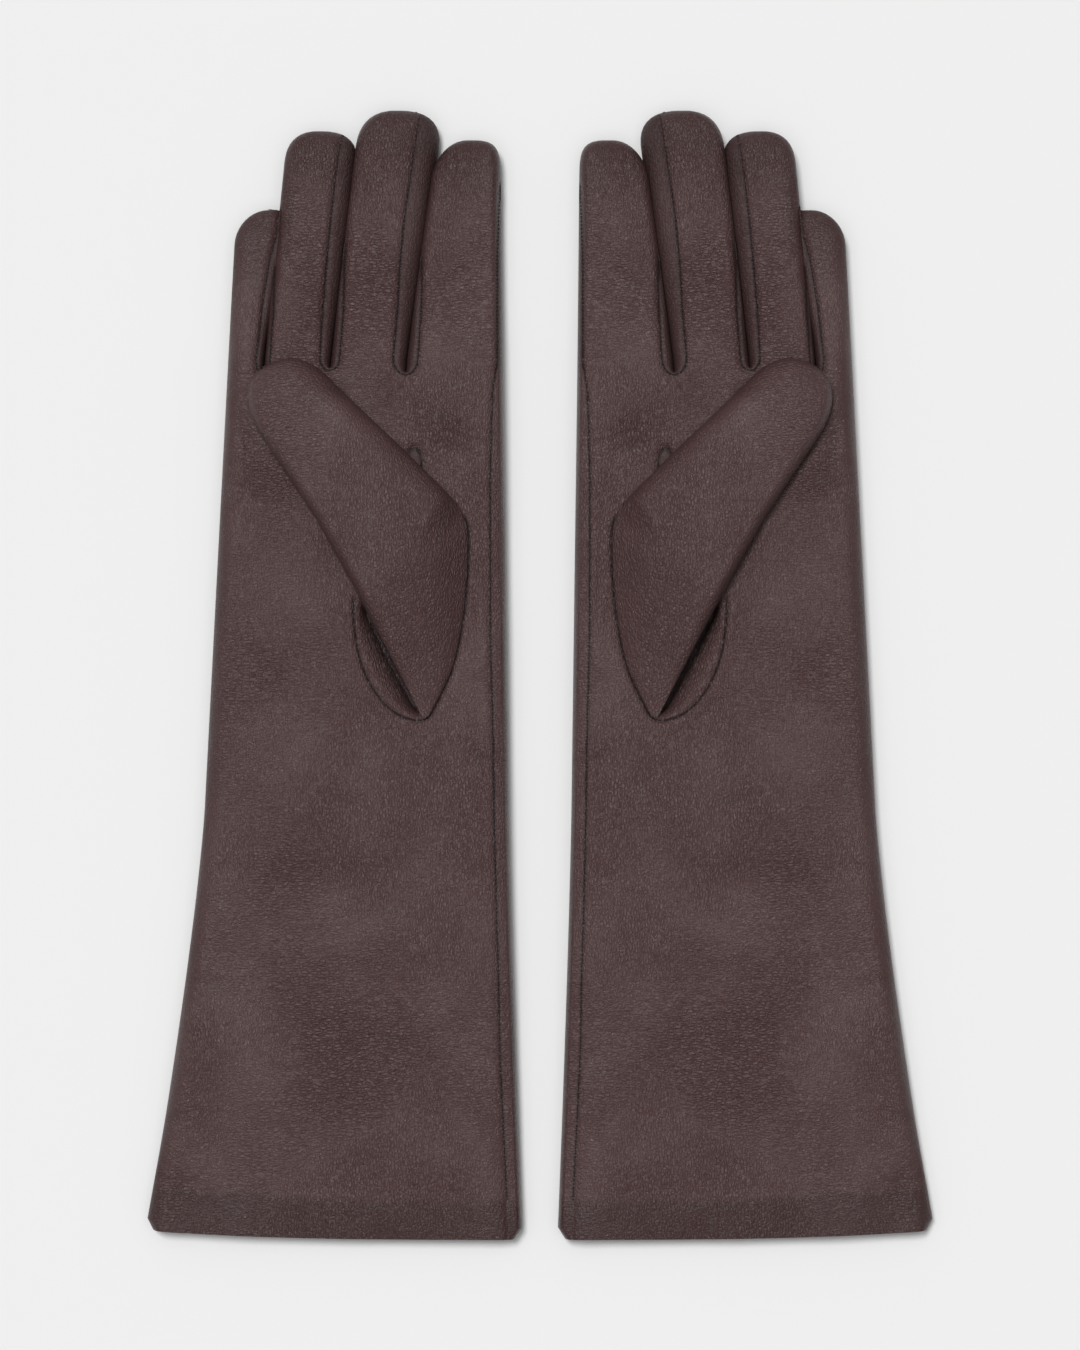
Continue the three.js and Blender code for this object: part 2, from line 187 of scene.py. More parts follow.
def curve_through(points, step=0.3):
    """A smooth line through a few points, as points one step apart."""
    knots = [np.array(p, float) for p in points]
    knots = [2 * knots[0] - knots[1], *knots, 2 * knots[-1] - knots[-2]]
    line = []
    for a, b, c, d in zip(knots, knots[1:], knots[2:], knots[3:]):
        count = max(2, int(np.linalg.norm(c - b) / step))
        for t in np.arange(count) / count:
            line.append(0.5 * (2 * b + (c - a) * t + (2 * a - 5 * b + 4 * c - d) * t ** 2
                               + (3 * b - a - 3 * c + d) * t ** 3))
    line.append(knots[-2])
    return np.array(line)


def crowded(count):
    """Shares from 0 to 1 that lie closer together at both ends."""
    even = np.linspace(0, 1, count)
    return 0.45 * even + 0.55 * (0.5 - 0.5 * np.cos(np.pi * even))


# ---- sections ------------------------------------------------------------------------------
def section(place, left, right, round_left, round_right):
    """Plan position and height share (1 top, 0 edge, -1 underside) round a flattened tube."""
    place = np.mod(place, 6.0)
    under = place > 3
    upper = np.where(under, 6 - place, place)
    turn = np.pi / 2
    on_right = upper < 1
    on_left = upper > 2
    x_right = right - round_right * (1 - np.cos(np.clip(upper, 0, 1) * turn))
    x_left = left + round_left * (1 - np.sin(np.clip(upper - 2, 0, 1) * turn))
    flat = np.clip(upper - 1, 0, 1)
    x_flat = (right - round_right) * (1 - flat) + (left + round_left) * flat
    x = np.where(on_right, x_right, np.where(on_left, x_left, x_flat))
    rise = np.where(on_right, np.sin(np.clip(upper, 0, 1) * turn),
                    np.where(on_left, np.cos(np.clip(upper - 2, 0, 1) * turn), 1.0))
    return x, np.where(under, -rise, rise)


def place_of(x, left, right, round_left, round_right):
    """The place on the upper half of a section that lies at plan position x."""
    turn = np.pi / 2
    from_right = np.clip(1 - (right - x) / round_right, -1, 1)
    from_left = np.clip(1 - (x - left) / round_left, -1, 1)
    flat = (right - round_right - x) / np.maximum(right - round_right - left - round_left, 0.01)
    return np.where(
        x > right - round_right, np.arccos(from_right) / turn,
        np.where(x < left + round_left, 2 + np.arcsin(from_left) / turn, 1 + np.clip(flat, 0, 1)),
    )


def hand_outline(y):
    """Left edge, right edge and thickness of the hand and gauntlet."""
    flare = np.clip((WRIST_Y - y) / (WRIST_Y - HEM_Y), 0, 1) ** FLARE_POWER
    rise = np.clip((y - WRIST_Y) / (ROOTS_Y - WRIST_Y), 0, 1)
    width = WRIST_WIDTH + flare * (HEM_WIDTH - WRIST_WIDTH) + rise * (ROOTS_WIDTH - WRIST_WIDTH)
    edge = WRIST_EDGE + flare * (HEM_EDGE - WRIST_EDGE) + rise * (ROOTS_EDGE - WRIST_EDGE)
    height = PALM_HEIGHT + flare * (HEM_HEIGHT - PALM_HEIGHT)
    return -edge - width, -edge, height


def side_seam_x(y):
    return hand_outline(y)[1] - along(SIDE_SEAM, y)


def finger_edges(name, y):
    """Left and right edges of a finger, before its tip closes."""
    finger = FINGERS[name]
    left = finger["left"] + finger["lean"] * (y - ROOTS_Y)
    number = FINGER_ORDER.index(name)
    if number == 0:
        return left, -ROOTS_EDGE - INDEX_LEAN * (y - ROOTS_Y)
    neighbour = FINGERS[FINGER_ORDER[number - 1]]
    right = neighbour["left"] + neighbour["lean"] * (y - ROOTS_Y)
    return left, right + finger["lap"] * smooth(y, ROOTS_Y + LAP_START, ROOTS_Y + LAP_END)


def finger_shape(name, y, close):
    """Everything that a finger's section needs at height y. close is how far the tip has
    closed: 0 on the straight part, 1 at the very end."""
    finger = FINGERS[name]
    left, right = finger_edges(name, y)
    apex = finger["apex"]
    left = apex - (apex - left) * (1 - close ** finger["corner_left"]) ** (
        1 / finger["corner_left"])
    right = apex + (right - apex) * (1 - close ** finger["corner_right"]) ** (
        1 / finger["corner_right"])
    number = FINGER_ORDER.index(name)
    grown = smooth(y, ROOTS_Y, ROOTS_Y + ROOT_GROWTH)
    root_left = LEFT_ROUND if name == "little" else finger["seam_left"][0][1]
    root_right = RIGHT_ROUND if number == 0 else finger["seam_right"][0][1]
    half = np.maximum((right - left) / 2, 0.001)
    round_left = root_left + grown * (finger["round_left"] - root_left)
    round_right = root_right + grown * (finger["round_right"] - root_right)
    slim = np.minimum(1, 1.9 * half / (round_left + round_right))
    return dict(
        left=left, right=right, round_left=round_left * slim, round_right=round_right * slim,
        edge_left=PALM_HEIGHT / 2 + grown * finger["lift"] * (1 - close),
        edge_right=PALM_HEIGHT / 2 - grown * finger["drop"] * (1 - close),
        top=PALM_HEIGHT + grown * (finger["top"] - PALM_HEIGHT),
        full=(1 - close ** TIP_FULLNESS) ** (1 / TIP_FULLNESS),
    )


def finger_height(shape, x, rise):
    """Height of a point on a finger's section."""
    width = np.maximum(shape["right"] - shape["left"], 0.01)
    share = np.clip((shape["right"] - x) / width, 0, 1)
    edge = shape["edge_right"] + share * (shape["edge_left"] - shape["edge_right"])
    up = (shape["top"] - edge) * shape["full"]
    down = (edge - 0.1) * shape["full"]
    return edge + np.where(rise > 0, up, down) * rise


def finger_seams(name, y, shape):
    """Plan positions of the palm seams of a finger, left and right."""
    finger = FINGERS[name]
    edge_left, edge_right = finger_edges(name, y)
    edge_right = edge_right - finger["lap"] * smooth(y, ROOTS_Y + LAP_START, ROOTS_Y + LAP_END)
    left = shape["left"]
    if finger["seam_left"]:
        left = np.maximum(edge_left + along(finger["seam_left"], y), left + 0.02)
    right = np.minimum(edge_right - along(finger["seam_right"], y), shape["right"] - 0.02)
    return np.minimum(left, right), right


def finger_rows(name, spacing=1.5, dome_rows=11):
    """Heights and tip closings of a finger's rows, from its root to its end."""
    finger = FINGERS[name]
    dome_y = finger["tip"] - finger["dome"]
    straight = np.linspace(ROOTS_Y, dome_y, int((dome_y - ROOTS_Y) / spacing))[:-1]
    straight = np.insert(straight, 1, ROOTS_Y + JOINT_ROW)
    turn = np.linspace(0, np.pi / 2, dome_rows)
    y = np.concatenate([straight, dome_y + finger["dome"] * np.sin(turn)])
    return y, np.concatenate([np.zeros(len(straight)), np.sin(turn)])


# ---- seams, as lines in plan ---------------------------------------------------------------
def thumb_to_glove(points):
    points = np.asarray(points, float)
    return THUMB_CREASE + points[..., :1] * THUMB_ALONG + points[..., 1:2] * THUMB_ACROSS


def crotch(name):
    """Centre, half width and depth of the crotch on a finger's left side."""
    y = np.array([ROOTS_Y])
    own = finger_shape(name, y, np.zeros(1))
    beside = FINGER_ORDER[FINGER_ORDER.index(name) + 1]
    other = finger_shape(beside, y, np.zeros(1))
    right = finger_seams(name, y, own)[0][0]
    left = finger_seams(beside, y, other)[1][0]
    return (left + right) / 2, (right - left) / 2, CROTCH_DEPTH[name]


CROTCHES = {name: crotch(name) for name in FINGER_ORDER[:3]}


def roots_edge(x):
    """How high the hand's skin reaches: up to the finger roots, and lower round a crotch."""
    top = np.full(np.shape(x), ROOTS_Y)
    for centre, half, depth in CROTCHES.values():
        inside = np.abs(x - centre) < half
        dip = depth * np.sqrt(np.maximum(0, 1 - ((x - centre) / half) ** 2))
        top = np.where(inside, ROOTS_Y - dip, top)
    return top


def crotch_line(name, count=24):
    centre, half, depth = CROTCHES[name]
    turn = np.linspace(0, np.pi, count)
    return np.stack([centre + half * np.cos(turn), ROOTS_Y - depth * np.sin(turn)], axis=1)


def finger_seam_line(name, side):
    y, close = finger_rows(name, spacing=0.4, dome_rows=24)
    shape = finger_shape(name, y, close)
    left, right = finger_seams(name, y, shape)
    x = right if side == "right" else left
    place = place_of(x, shape["left"], shape["right"], shape["round_left"], shape["round_right"])
    x, rise = section(place, shape["left"], shape["right"], shape["round_left"],
                      shape["round_right"])
    z = finger_height(shape, x, rise) - GROOVE_DEPTH + STITCH_RISE
    edge = shape[side]
    seen = (close < 0.97) & (np.abs(edge - x) > 0.25)
    return np.stack([x, y, z], axis=1)[seen]


thumb_seam = curve_through(THUMB_SEAM)
thumb_seam_line = thumb_to_glove(thumb_seam)
side_seam_y = np.arange(HEM_Y, ROOTS_Y, 0.4)
side_seam_line = np.stack([side_seam_x(side_seam_y), side_seam_y], axis=1)
QUIRK_CENTRE = (-40.2, 67.6)
QUIRK_HALF = (2.4, 5.0)
quirk_turn = np.linspace(0, 2 * np.pi, 60)
quirk_line = np.stack([QUIRK_CENTRE[0] + QUIRK_HALF[0] * np.cos(quirk_turn),
                       QUIRK_CENTRE[1] + QUIRK_HALF[1] * np.sin(quirk_turn)], axis=1)

finger_lines = {}
for finger_name in FINGER_ORDER:
    finger_lines[finger_name] = [finger_seam_line(finger_name, "right")]
    if FINGERS[finger_name]["seam_left"]:
        finger_lines[finger_name].append(finger_seam_line(finger_name, "left"))

all_lines = [thumb_seam_line, side_seam_line, quirk_line]
all_lines += [crotch_line(name) for name in CROTCHES]
all_lines += [line[:, :2] for lines in finger_lines.values() for line in lines]
seam_points = np.concatenate(all_lines)
seam_tree = kdtree.KDTree(len(seam_points))
for seam_index, seam_point in enumerate(seam_points):
    seam_tree.insert((seam_point[0], seam_point[1], 0), seam_index)
seam_tree.balance()


def seam_distance(x, y):
    flat = [seam_tree.find((a, b, 0))[2] for a, b in zip(np.ravel(x), np.ravel(y))]
    return np.array(flat).reshape(np.shape(x))


CREASES = [  # short folds in the hand's skin: two ends, depth and half width
    ((-10.5, -26.5), (-24, -24.5), 0.66, 1.4), ((-9, -122), (-19, -120.5), 0.66, 1.2),
    ((-8, -168.5), (-15, -169.5), 0.66, 1.0), ((-106, -63), (-98, -60), 0.57, 1.5),
    ((-113, -97), (-103, -100), 0.57, 1.5), ((-120, -143), (-111, -141), 0.66, 1.7),
    ((-123, -160), (-112, -166), 0.85, 2.1), ((-52, 91), (-45.5, 95), 0.57, 1.4),
    ((-49, 86), (-43.5, 94), 0.66, 1.2), ((-43, 86), (-21, 76), 0.57, 2.4),
    ((-42, 81), (-17, 73), 0.66, 1.5), ((-36, 74), (-18, 69), 0.57, 1.8),
    ((-98, 63), (-84, 55), 0.57, 1.8), ((-99, 69), (-88, 64), 0.57, 1.5),
    ((-70, 92), (-62, 88), 0.47, 1.5), ((-98, 90), (-93, 60), 0.66, 2.1),
    ((-66, -4), (-40, -22), 0.47, 2.4), ((-80, -36), (-52, -44), 0.47, 2.7),
]
RUMPLED = [  # where the skin is worked into fine wrinkles: middle, spread and strength
    ((-32, 76), (13, 6), 1.0), ((-88, 62), (10, 12), 0.9), ((-75, -58), (26, 16), 0.8),
    ((-60, -120), (34, 30), 0.5), ((-52, 128), (8, 12), 0.7), ((-25, 122), (8, 9), 0.6),
    ((-73, 122), (8, 10), 0.6), ((-102, 0), (6, 50), 0.6), ((-58, 52), (9, 16), 0.5),
    ((-45, 18), (14, 14), 0.8), ((-85, 10), (14, 16), 0.6), ((-112, -130), (8, 30), 0.6),
]


def crease_depth(x, y):
    """How much the short folds lower the skin."""
    depth = np.zeros(np.shape(x))
    for start, end, deep, half in CREASES:
        way = np.array(end, float) - start
        length = np.linalg.norm(way)
        share = np.clip(((x - start[0]) * way[0] + (y - start[1]) * way[1]) / length ** 2, 0, 1)
        bow = 0.06 * length * np.sin(np.pi * share)
        off_x = x - start[0] - share * way[0] + bow * way[1] / length
        off_y = y - start[1] - share * way[1] - bow * way[0] / length
        fade = np.sin(np.pi * np.clip(0.08 + 0.84 * share, 0, 1))
        depth = np.maximum(depth, deep * fade * np.exp(-(off_x ** 2 + off_y ** 2) / half ** 2))
    return depth


def rumpling(x, y):
    """How finely wrinkled the skin is, from 0 to 1."""
    most = np.zeros(np.shape(x))
    for middle, spread, strength in RUMPLED:
        far = ((x - middle[0]) / spread[0]) ** 2 + ((y - middle[1]) / spread[1]) ** 2
        most = np.maximum(most, strength * np.exp(-far))
    return most


def ripple(x, y):
    """Slow swells of the empty leather, in millimetres."""
    def swell(scale, size, seed):
        flat = [noise.noise((a / scale, b / scale, seed)) for a, b in zip(np.ravel(x), np.ravel(y))]
        return size * np.array(flat).reshape(np.shape(x))
    return swell(34, 1.3, 3.1) + swell(13, 0.5, 7.7) + swell(5, 0.12, 1.9)


def relief(x, y, rise):
    """What swells and seams add to the height of a skin, and how far its seams are."""
    plain_back = (rise <= 0) & (np.asarray(y) < BACK_SEAMS_Y)
    gap = np.where(plain_back, NO_SEAM, seam_distance(x, y))
    groove = -GROOVE_DEPTH * np.exp(-(gap / GROOVE_WIDTH) ** 2)
    swell = ripple(x, y) * smooth(gap, 0, 6) * smooth(rise, 0.3, 0.9)
    return np.where(rise > 0, groove + swell - crease_depth(x, y), -groove), gap


def palm_skin(x, y):
    """Height of the palm's skin at a plan position, and how far its seams are."""
    left, right, height = hand_outline(y)
    place = place_of(x, left, right, LEFT_ROUND, RIGHT_ROUND)
    rise = section(place, left, right, LEFT_ROUND, RIGHT_ROUND)[1]
    lift, gap = relief(x, y, rise)
    return height / 2 * (1 + rise) + lift, gap


# ---- mesh making ---------------------------------------------------------------------------
def painted_skin_shade(points):
    """Painted shade, as how much darker the colour is made: towards the fingertips, along the little-finger
    fold and in the short creases.
    """
    x, y, z = points[..., 0], points[..., 1], points[..., 2]
    painted_shade = np.zeros(x.shape)
    # Painted shade that darkens the end of each finger.
    for name in FINGER_ORDER:
        left, right = finger_edges(name, y)
        tip = FINGERS[name]["tip"]
        own = (x > left - 1) & (x < right + 1)
        painted_shade = np.maximum(painted_shade, own * smooth(y, tip - TIP_SHADE[0], tip - TIP_SHADE[1]))
    left = hand_outline(y)[0]
    # Painted shade along the little-finger fold of the hand.
    fold = np.exp(-((x - left) / FOLD_SHADE) ** 2) * (y < ROOTS_Y)
    # Painted shade in the short creases.
    painted_crease_shade = 0.9 * crease_depth(x, y) * (z > PALM_HEIGHT / 2)
    return np.maximum(painted_shade, 0.5 * fold) + painted_crease_shade


def grid_piece(name, points, side, seam=None, flags=None):
    """A skin whose rows and columns are points[row, column]. Columns run by increasing place."""
    rows, columns = points.shape[:2]
    mirror = -1 if side == "left" else 1
    mesh = bpy.data.meshes.new(f"{side}_{name}_sewn")
    bm = bmesh.new()
    bmesh.ops.create_grid(bm, x_segments=columns - 1, y_segments=rows - 1, size=1)
    bm.verts.ensure_lookup_table()
    seam_layer = bm.verts.layers.float.new("seam")
    flag_layer = bm.verts.layers.float.new("band")
    painted_shade_layer = bm.verts.layers.float.new("painted_shade")
    rumple_layer = bm.verts.layers.float.new("rumple")
    # Painted shade for the fingertips, the little-finger fold and the creases, kept per vertex.
    painted_shade = painted_skin_shade(points)
    rumple = rumpling(points[..., 0], points[..., 1])
    for vert in bm.verts:
        column = round((vert.co.x + 1) / 2 * (columns - 1))
        row = round((vert.co.y + 1) / 2 * (rows - 1))
        x, y, z = points[row, column] * MM
        vert.co = (x * mirror, y, z)
        vert[seam_layer] = 9.0 if seam is None else seam[row, column]
        vert[flag_layer] = 0.0 if flags is None else flags[row, column]
        vert[painted_shade_layer] = painted_shade[row, column]
        vert[rumple_layer] = rumple[row, column]
    if side == "right":
        bmesh.ops.reverse_faces(bm, faces=bm.faces[:])
    return mesh, bm


def finish_piece(mesh, bm, material, nodes, thickness=LEATHER, weld=0.02):
    bmesh.ops.remove_doubles(bm, verts=bm.verts[:], dist=weld * MM)
    bmesh.ops.dissolve_degenerate(bm, edges=bm.edges[:], dist=1e-7)
    for face in bm.faces:
        face.smooth = True
    for edge in bm.edges:
        edge.smooth = not edge.is_boundary
    bm.to_mesh(mesh)
    bm.free()
    piece = bpy.data.objects.new(mesh.name, mesh)
    bpy.context.scene.collection.objects.link(piece)
    mesh.materials.append(material)
    if thickness:
        wall = piece.modifiers.new("wall", "SOLIDIFY")
        wall.thickness = thickness * MM
        wall.offset = -1
    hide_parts(*nodes)
    return piece


# ---- materials -----------------------------------------------------------------------------
def new_nodes(name):
    material = bpy.data.materials.new(name)
    material.use_nodes = True
    tree = material.node_tree
    return material, tree.nodes, tree.links, tree.nodes["Principled BSDF"]


def value_node(nodes, links, operation, a, b, clamp=False):
    node = nodes.new("ShaderNodeMath")
    node.operation = operation
    node.use_clamp = clamp
    for socket, source in zip(node.inputs, (a, b)):
        if isinstance(source, (int, float)):
            socket.default_value = source
        elif source is not None:
            links.new(source, socket)
    return node.outputs[0]


def ramp_node(nodes, links, source, low, high, low_value=0.0, high_value=1.0):
    node = nodes.new("ShaderNodeMapRange")
    node.interpolation_type = "SMOOTHSTEP"
    links.new(source, node.inputs["Value"])
    for key, number in (("From Min", low), ("From Max", high),
                        ("To Min", low_value), ("To Max", high_value)):
        node.inputs[key].default_value = number
    return node.outputs[0]


def mix_colour(nodes, links, share, a, b):
    node = nodes.new("ShaderNodeMix")
    node.data_type = "RGBA"
    if isinstance(share, (int, float)):
        node.inputs["Factor"].default_value = share
    else:
        links.new(share, node.inputs["Factor"])
    for key, source in ((6, a), (7, b)):
        if isinstance(source, tuple):
            node.inputs[key].default_value = (*source, 1)
        else:
            links.new(source, node.inputs[key])
    return node.outputs[2]


def noise_node(nodes, links, vector, scale, detail=3.0, roughness=0.55):
    node = nodes.new("ShaderNodeTexNoise")
    links.new(vector, node.inputs["Vector"])
    node.inputs["Scale"].default_value = scale
    node.inputs["Detail"].default_value = detail
    node.inputs["Roughness"].default_value = roughness
    return node.outputs["Fac"]


def stretched(nodes, links, vector, scale, turn=0.0):
    node = nodes.new("ShaderNodeMapping")
    links.new(vector, node.inputs["Vector"])
    node.inputs["Scale"].default_value = scale
    node.inputs["Rotation"].default_value = (0, 0, turn)
    return node.outputs["Vector"]


def wrinkle_cells(nodes, links, vector, scale):
    """Drawn-out cushions of leather with narrow valleys between them."""
    warp = noise_node(nodes, links, vector, 0.6 * scale, 2.0)
    shift = nodes.new("ShaderNodeVectorMath")
    shift.operation = "SCALE"
    links.new(warp.node.outputs["Color"], shift.inputs[0])
    shift.inputs["Scale"].default_value = 0.9 / scale
    moved = nodes.new("ShaderNodeVectorMath")
    moved.operation = "ADD"
    links.new(vector, moved.inputs[0])
    links.new(shift.outputs[0], moved.inputs[1])
    cells = nodes.new("ShaderNodeTexVoronoi")
    cells.feature = "DISTANCE_TO_EDGE"
    cells.inputs["Scale"].default_value = scale
    links.new(moved.outputs[0], cells.inputs["Vector"])
    return ramp_node(nodes, links, cells.outputs["Distance"], 0.0, 0.24)


PEBBLE_SCALE = 2300
FINE_SCALE = 1300
WRINKLE_SCALE = 900
MOTTLE_SCALE = 45
PATCH_SCALE = 26  # of the patches where wrinkles are stronger
TURN_SCALE = 21  # of the patches where they run lengthwise
GRAIN_HEIGHT = 0.33  # millimetres
SPECULAR = 0.34


def make_grain_group():
    """Leather grain: pebbles, fine noise and wrinkles either way, as a height."""
    group = bpy.data.node_groups.new("leather_grain", "ShaderNodeTree")
    group.interface.new_socket("Vector", in_out="INPUT", socket_type="NodeSocketVector")
    group.interface.new_socket("Creasing", in_out="INPUT", socket_type="NodeSocketFloat")
    group.interface.new_socket("Height", in_out="OUTPUT", socket_type="NodeSocketFloat")
    group.interface.new_socket("Crease", in_out="OUTPUT", socket_type="NodeSocketFloat")
    group.interface.new_socket("Patch", in_out="OUTPUT", socket_type="NodeSocketFloat")
    nodes, links = group.nodes, group.links
    entry = nodes.new("NodeGroupInput")
    leave = nodes.new("NodeGroupOutput")
    vector = entry.outputs["Vector"]
    pebble = nodes.new("ShaderNodeTexVoronoi")
    pebble.feature = "DISTANCE_TO_EDGE"
    pebble.inputs["Scale"].default_value = PEBBLE_SCALE
    links.new(vector, pebble.inputs["Vector"])
    pebbles = ramp_node(nodes, links, pebble.outputs["Distance"], 0.0, 0.3)
    fine = noise_node(nodes, links, vector, FINE_SCALE, 3.0)
    crosswise = stretched(nodes, links, vector, (0.5, 1.25, 1))
    lengthwise = stretched(nodes, links, vector, (1.3, 0.55, 1), 0.25)
    lines_a = wrinkle_cells(nodes, links, crosswise, WRINKLE_SCALE)
    lines_b = wrinkle_cells(nodes, links, lengthwise, WRINKLE_SCALE)
    patch = noise_node(nodes, links, vector, PATCH_SCALE, 2.0)
    patches = ramp_node(nodes, links, patch, 0.3, 0.7, 0.25, 1.0)
    slanted = stretched(nodes, links, vector, (1, 0.7, 1), 0.8)
    turn_noise = noise_node(nodes, links, slanted, TURN_SCALE, 1.0)
    turns = ramp_node(nodes, links, turn_noise, 0.42, 0.6)
    mixed = nodes.new("ShaderNodeMix")
    links.new(turns, mixed.inputs[0])
    links.new(lines_a, mixed.inputs[2])
    links.new(lines_b, mixed.inputs[3])
    strength = value_node(nodes, links, "MULTIPLY", patches, entry.outputs["Creasing"])
    base_strength = value_node(nodes, links, "MULTIPLY_ADD", strength, 0.8)
    base_strength.node.inputs[2].default_value = 0.2
    crease = value_node(nodes, links, "MULTIPLY", mixed.outputs[0], base_strength)
    fine_height = value_node(nodes, links, "MULTIPLY", fine, 0.7)
    grain = value_node(nodes, links, "MULTIPLY_ADD", pebbles, 0.12)
    links.new(fine_height, grain.node.inputs[2])
    height = value_node(nodes, links, "ADD", grain, crease)
    links.new(height, leave.inputs["Height"])
    links.new(crease, leave.inputs["Crease"])
    links.new(patches, leave.inputs["Patch"])
    return group


grain_group = make_grain_group()


def leather_material(name, dark, light, creasing, roughness):
    material, nodes, links, shader = new_nodes(name)
    place = nodes.new("ShaderNodeTexCoord")
    folded = nodes.new("ShaderNodeVectorMath")
    folded.operation = "ABSOLUTE"
    links.new(place.outputs["Object"], folded.inputs[0])
    vector = folded.outputs[0]
    seam = nodes.new("ShaderNodeAttribute")
    seam.attribute_name = "seam"
    band = nodes.new("ShaderNodeAttribute")
    band.attribute_name = "band"
    grain = nodes.new("ShaderNodeGroup")
    grain.node_tree = grain_group
    links.new(vector, grain.inputs["Vector"])
    rumple = nodes.new("ShaderNodeAttribute")
    rumple.attribute_name = "rumple"
    calm = value_node(nodes, links, "MULTIPLY_ADD", band.outputs["Fac"], -0.3 * creasing)
    calm.node.inputs[2].default_value = 0.6 * creasing
    worked = value_node(nodes, links, "MULTIPLY_ADD", rumple.outputs["Fac"], 0.6 * creasing)
    links.new(calm, worked.node.inputs[2])
    links.new(worked, grain.inputs["Creasing"])
    mottle = noise_node(nodes, links, vector, MOTTLE_SCALE, 4.0)
    tones = ramp_node(nodes, links, mottle, 0.3, 0.72)
    colour = mix_colour(nodes, links, tones, dark, light)
    # Painted highlight: the crests of the wrinkles are mixed towards a lighter colour.
    painted_crest_highlight = tuple(min(1, 1.35 * part) for part in light)
    crest_highlight_share = value_node(nodes, links, "MULTIPLY", grain.outputs["Crease"], 0.1)
    colour = mix_colour(nodes, links, crest_highlight_share, colour, painted_crest_highlight)
    # Painted shade: close to a seam, and in the thumb gusset's valley, the colour darkens towards a third of
    # the dark tone.
    painted_groove_shade = tuple(0.3 * part for part in dark)
    gap = ramp_node(nodes, links, seam.outputs["Fac"], 0.1, 0.8, 0.95, 0.0)
    colour = mix_colour(nodes, links, gap, colour, painted_groove_shade)
    # Painted shade at the fingertips, the little-finger fold and the creases, mixed in together with the hem
    # band's own darker colour.
    painted_shade = nodes.new("ShaderNodeAttribute")
    painted_shade.attribute_name = "painted_shade"
    banded = value_node(nodes, links, "MULTIPLY", band.outputs["Fac"], 1.0)
    painted_shade_and_band = value_node(nodes, links, "MULTIPLY_ADD", painted_shade.outputs["Fac"], 0.8)
    links.new(banded, painted_shade_and_band.node.inputs[2])
    # The darker colour that the painted shade and the hem band move towards.
    deep = tuple(share * part for share, part in zip((0.6, 0.5, 0.5), light))
    colour = mix_colour(nodes, links, painted_shade_and_band, colour, deep)
    links.new(colour, shader.inputs["Base Color"])
    rough = value_node(nodes, links, "MULTIPLY_ADD", grain.outputs["Patch"], 0.05)
    rough.node.inputs[2].default_value = roughness
    links.new(rough, shader.inputs["Roughness"])
    shader.inputs["Specular IOR Level"].default_value = SPECULAR
    bump = nodes.new("ShaderNodeBump")
    bump.inputs["Strength"].default_value = 1.0
    bump.inputs["Distance"].default_value = GRAIN_HEIGHT * MM
    links.new(grain.outputs["Height"], bump.inputs["Height"])
    links.new(bump.outputs["Normal"], shader.inputs["Normal"])
    return material


def cloth_material(name, dark, light, scale):
    material, nodes, links, shader = new_nodes(name)
    place = nodes.new("ShaderNodeTexCoord")
    wave = nodes.new("ShaderNodeTexWave")
    wave.inputs["Scale"].default_value = scale
    wave.inputs["Distortion"].default_value = 1.5
    wave.inputs["Detail"].default_value = 2.0
    links.new(place.outputs["Object"], wave.inputs["Vector"])
    colour = mix_colour(nodes, links, wave.outputs["Fac"], dark, light)
    links.new(colour, shader.inputs["Base Color"])
    shader.inputs["Roughness"].default_value = 0.9
    bump = nodes.new("ShaderNodeBump")
    bump.inputs["Distance"].default_value = 0.15 * MM
    links.new(wave.outputs["Fac"], bump.inputs["Height"])
    links.new(bump.outputs["Normal"], shader.inputs["Normal"])
    return material


skin_leather = leather_material("nappa", (0.066, 0.033, 0.032), (0.077, 0.041, 0.040), 1.0, 0.33)
strip_leather = leather_material("nappa_strip", (0.052, 0.026, 0.025), (0.060, 0.032, 0.031),
                                 0.6, 0.5)
flesh_leather = leather_material("flesh_side", (0.05, 0.034, 0.031), (0.07, 0.05, 0.045), 0.2, 0.75)
knit_cloth = cloth_material("knit", (0.022, 0.016, 0.015), (0.05, 0.038, 0.034), 900)
thread_cloth = cloth_material("thread", (0.010, 0.006, 0.005), (0.022, 0.013, 0.011), 2500)


# ---- hand ----------------------------------------------------------------------------------
def strip_columns(name, right, left, fold):
    """Plan positions of a strip's columns at the roots. The little finger's end at its fold."""
    shares = crowded(STRIP_COLUMNS[name])
    return right + ((fold if name == "little" else left) - right) * shares


def root_columns():
    """Plan positions of the palm's columns at the finger roots, as far as the left fold."""
    y = np.array([ROOTS_Y])
    fold = hand_outline(ROOTS_Y)[0] + LEFT_ROUND
    x = []
    for name in FINGER_ORDER:
        left, right = finger_seams(name, y, finger_shape(name, y, np.zeros(1)))
        start = side_seam_x(ROOTS_Y) if name == "index" else right[0]
        x += list(strip_columns(name, start, left[0], fold))
        if name in CROTCHES:
            centre, half = CROTCHES[name][:2]
            x += list(centre + half * np.cos(np.linspace(0, np.pi, 11))[1:-1])
    return np.array(x)


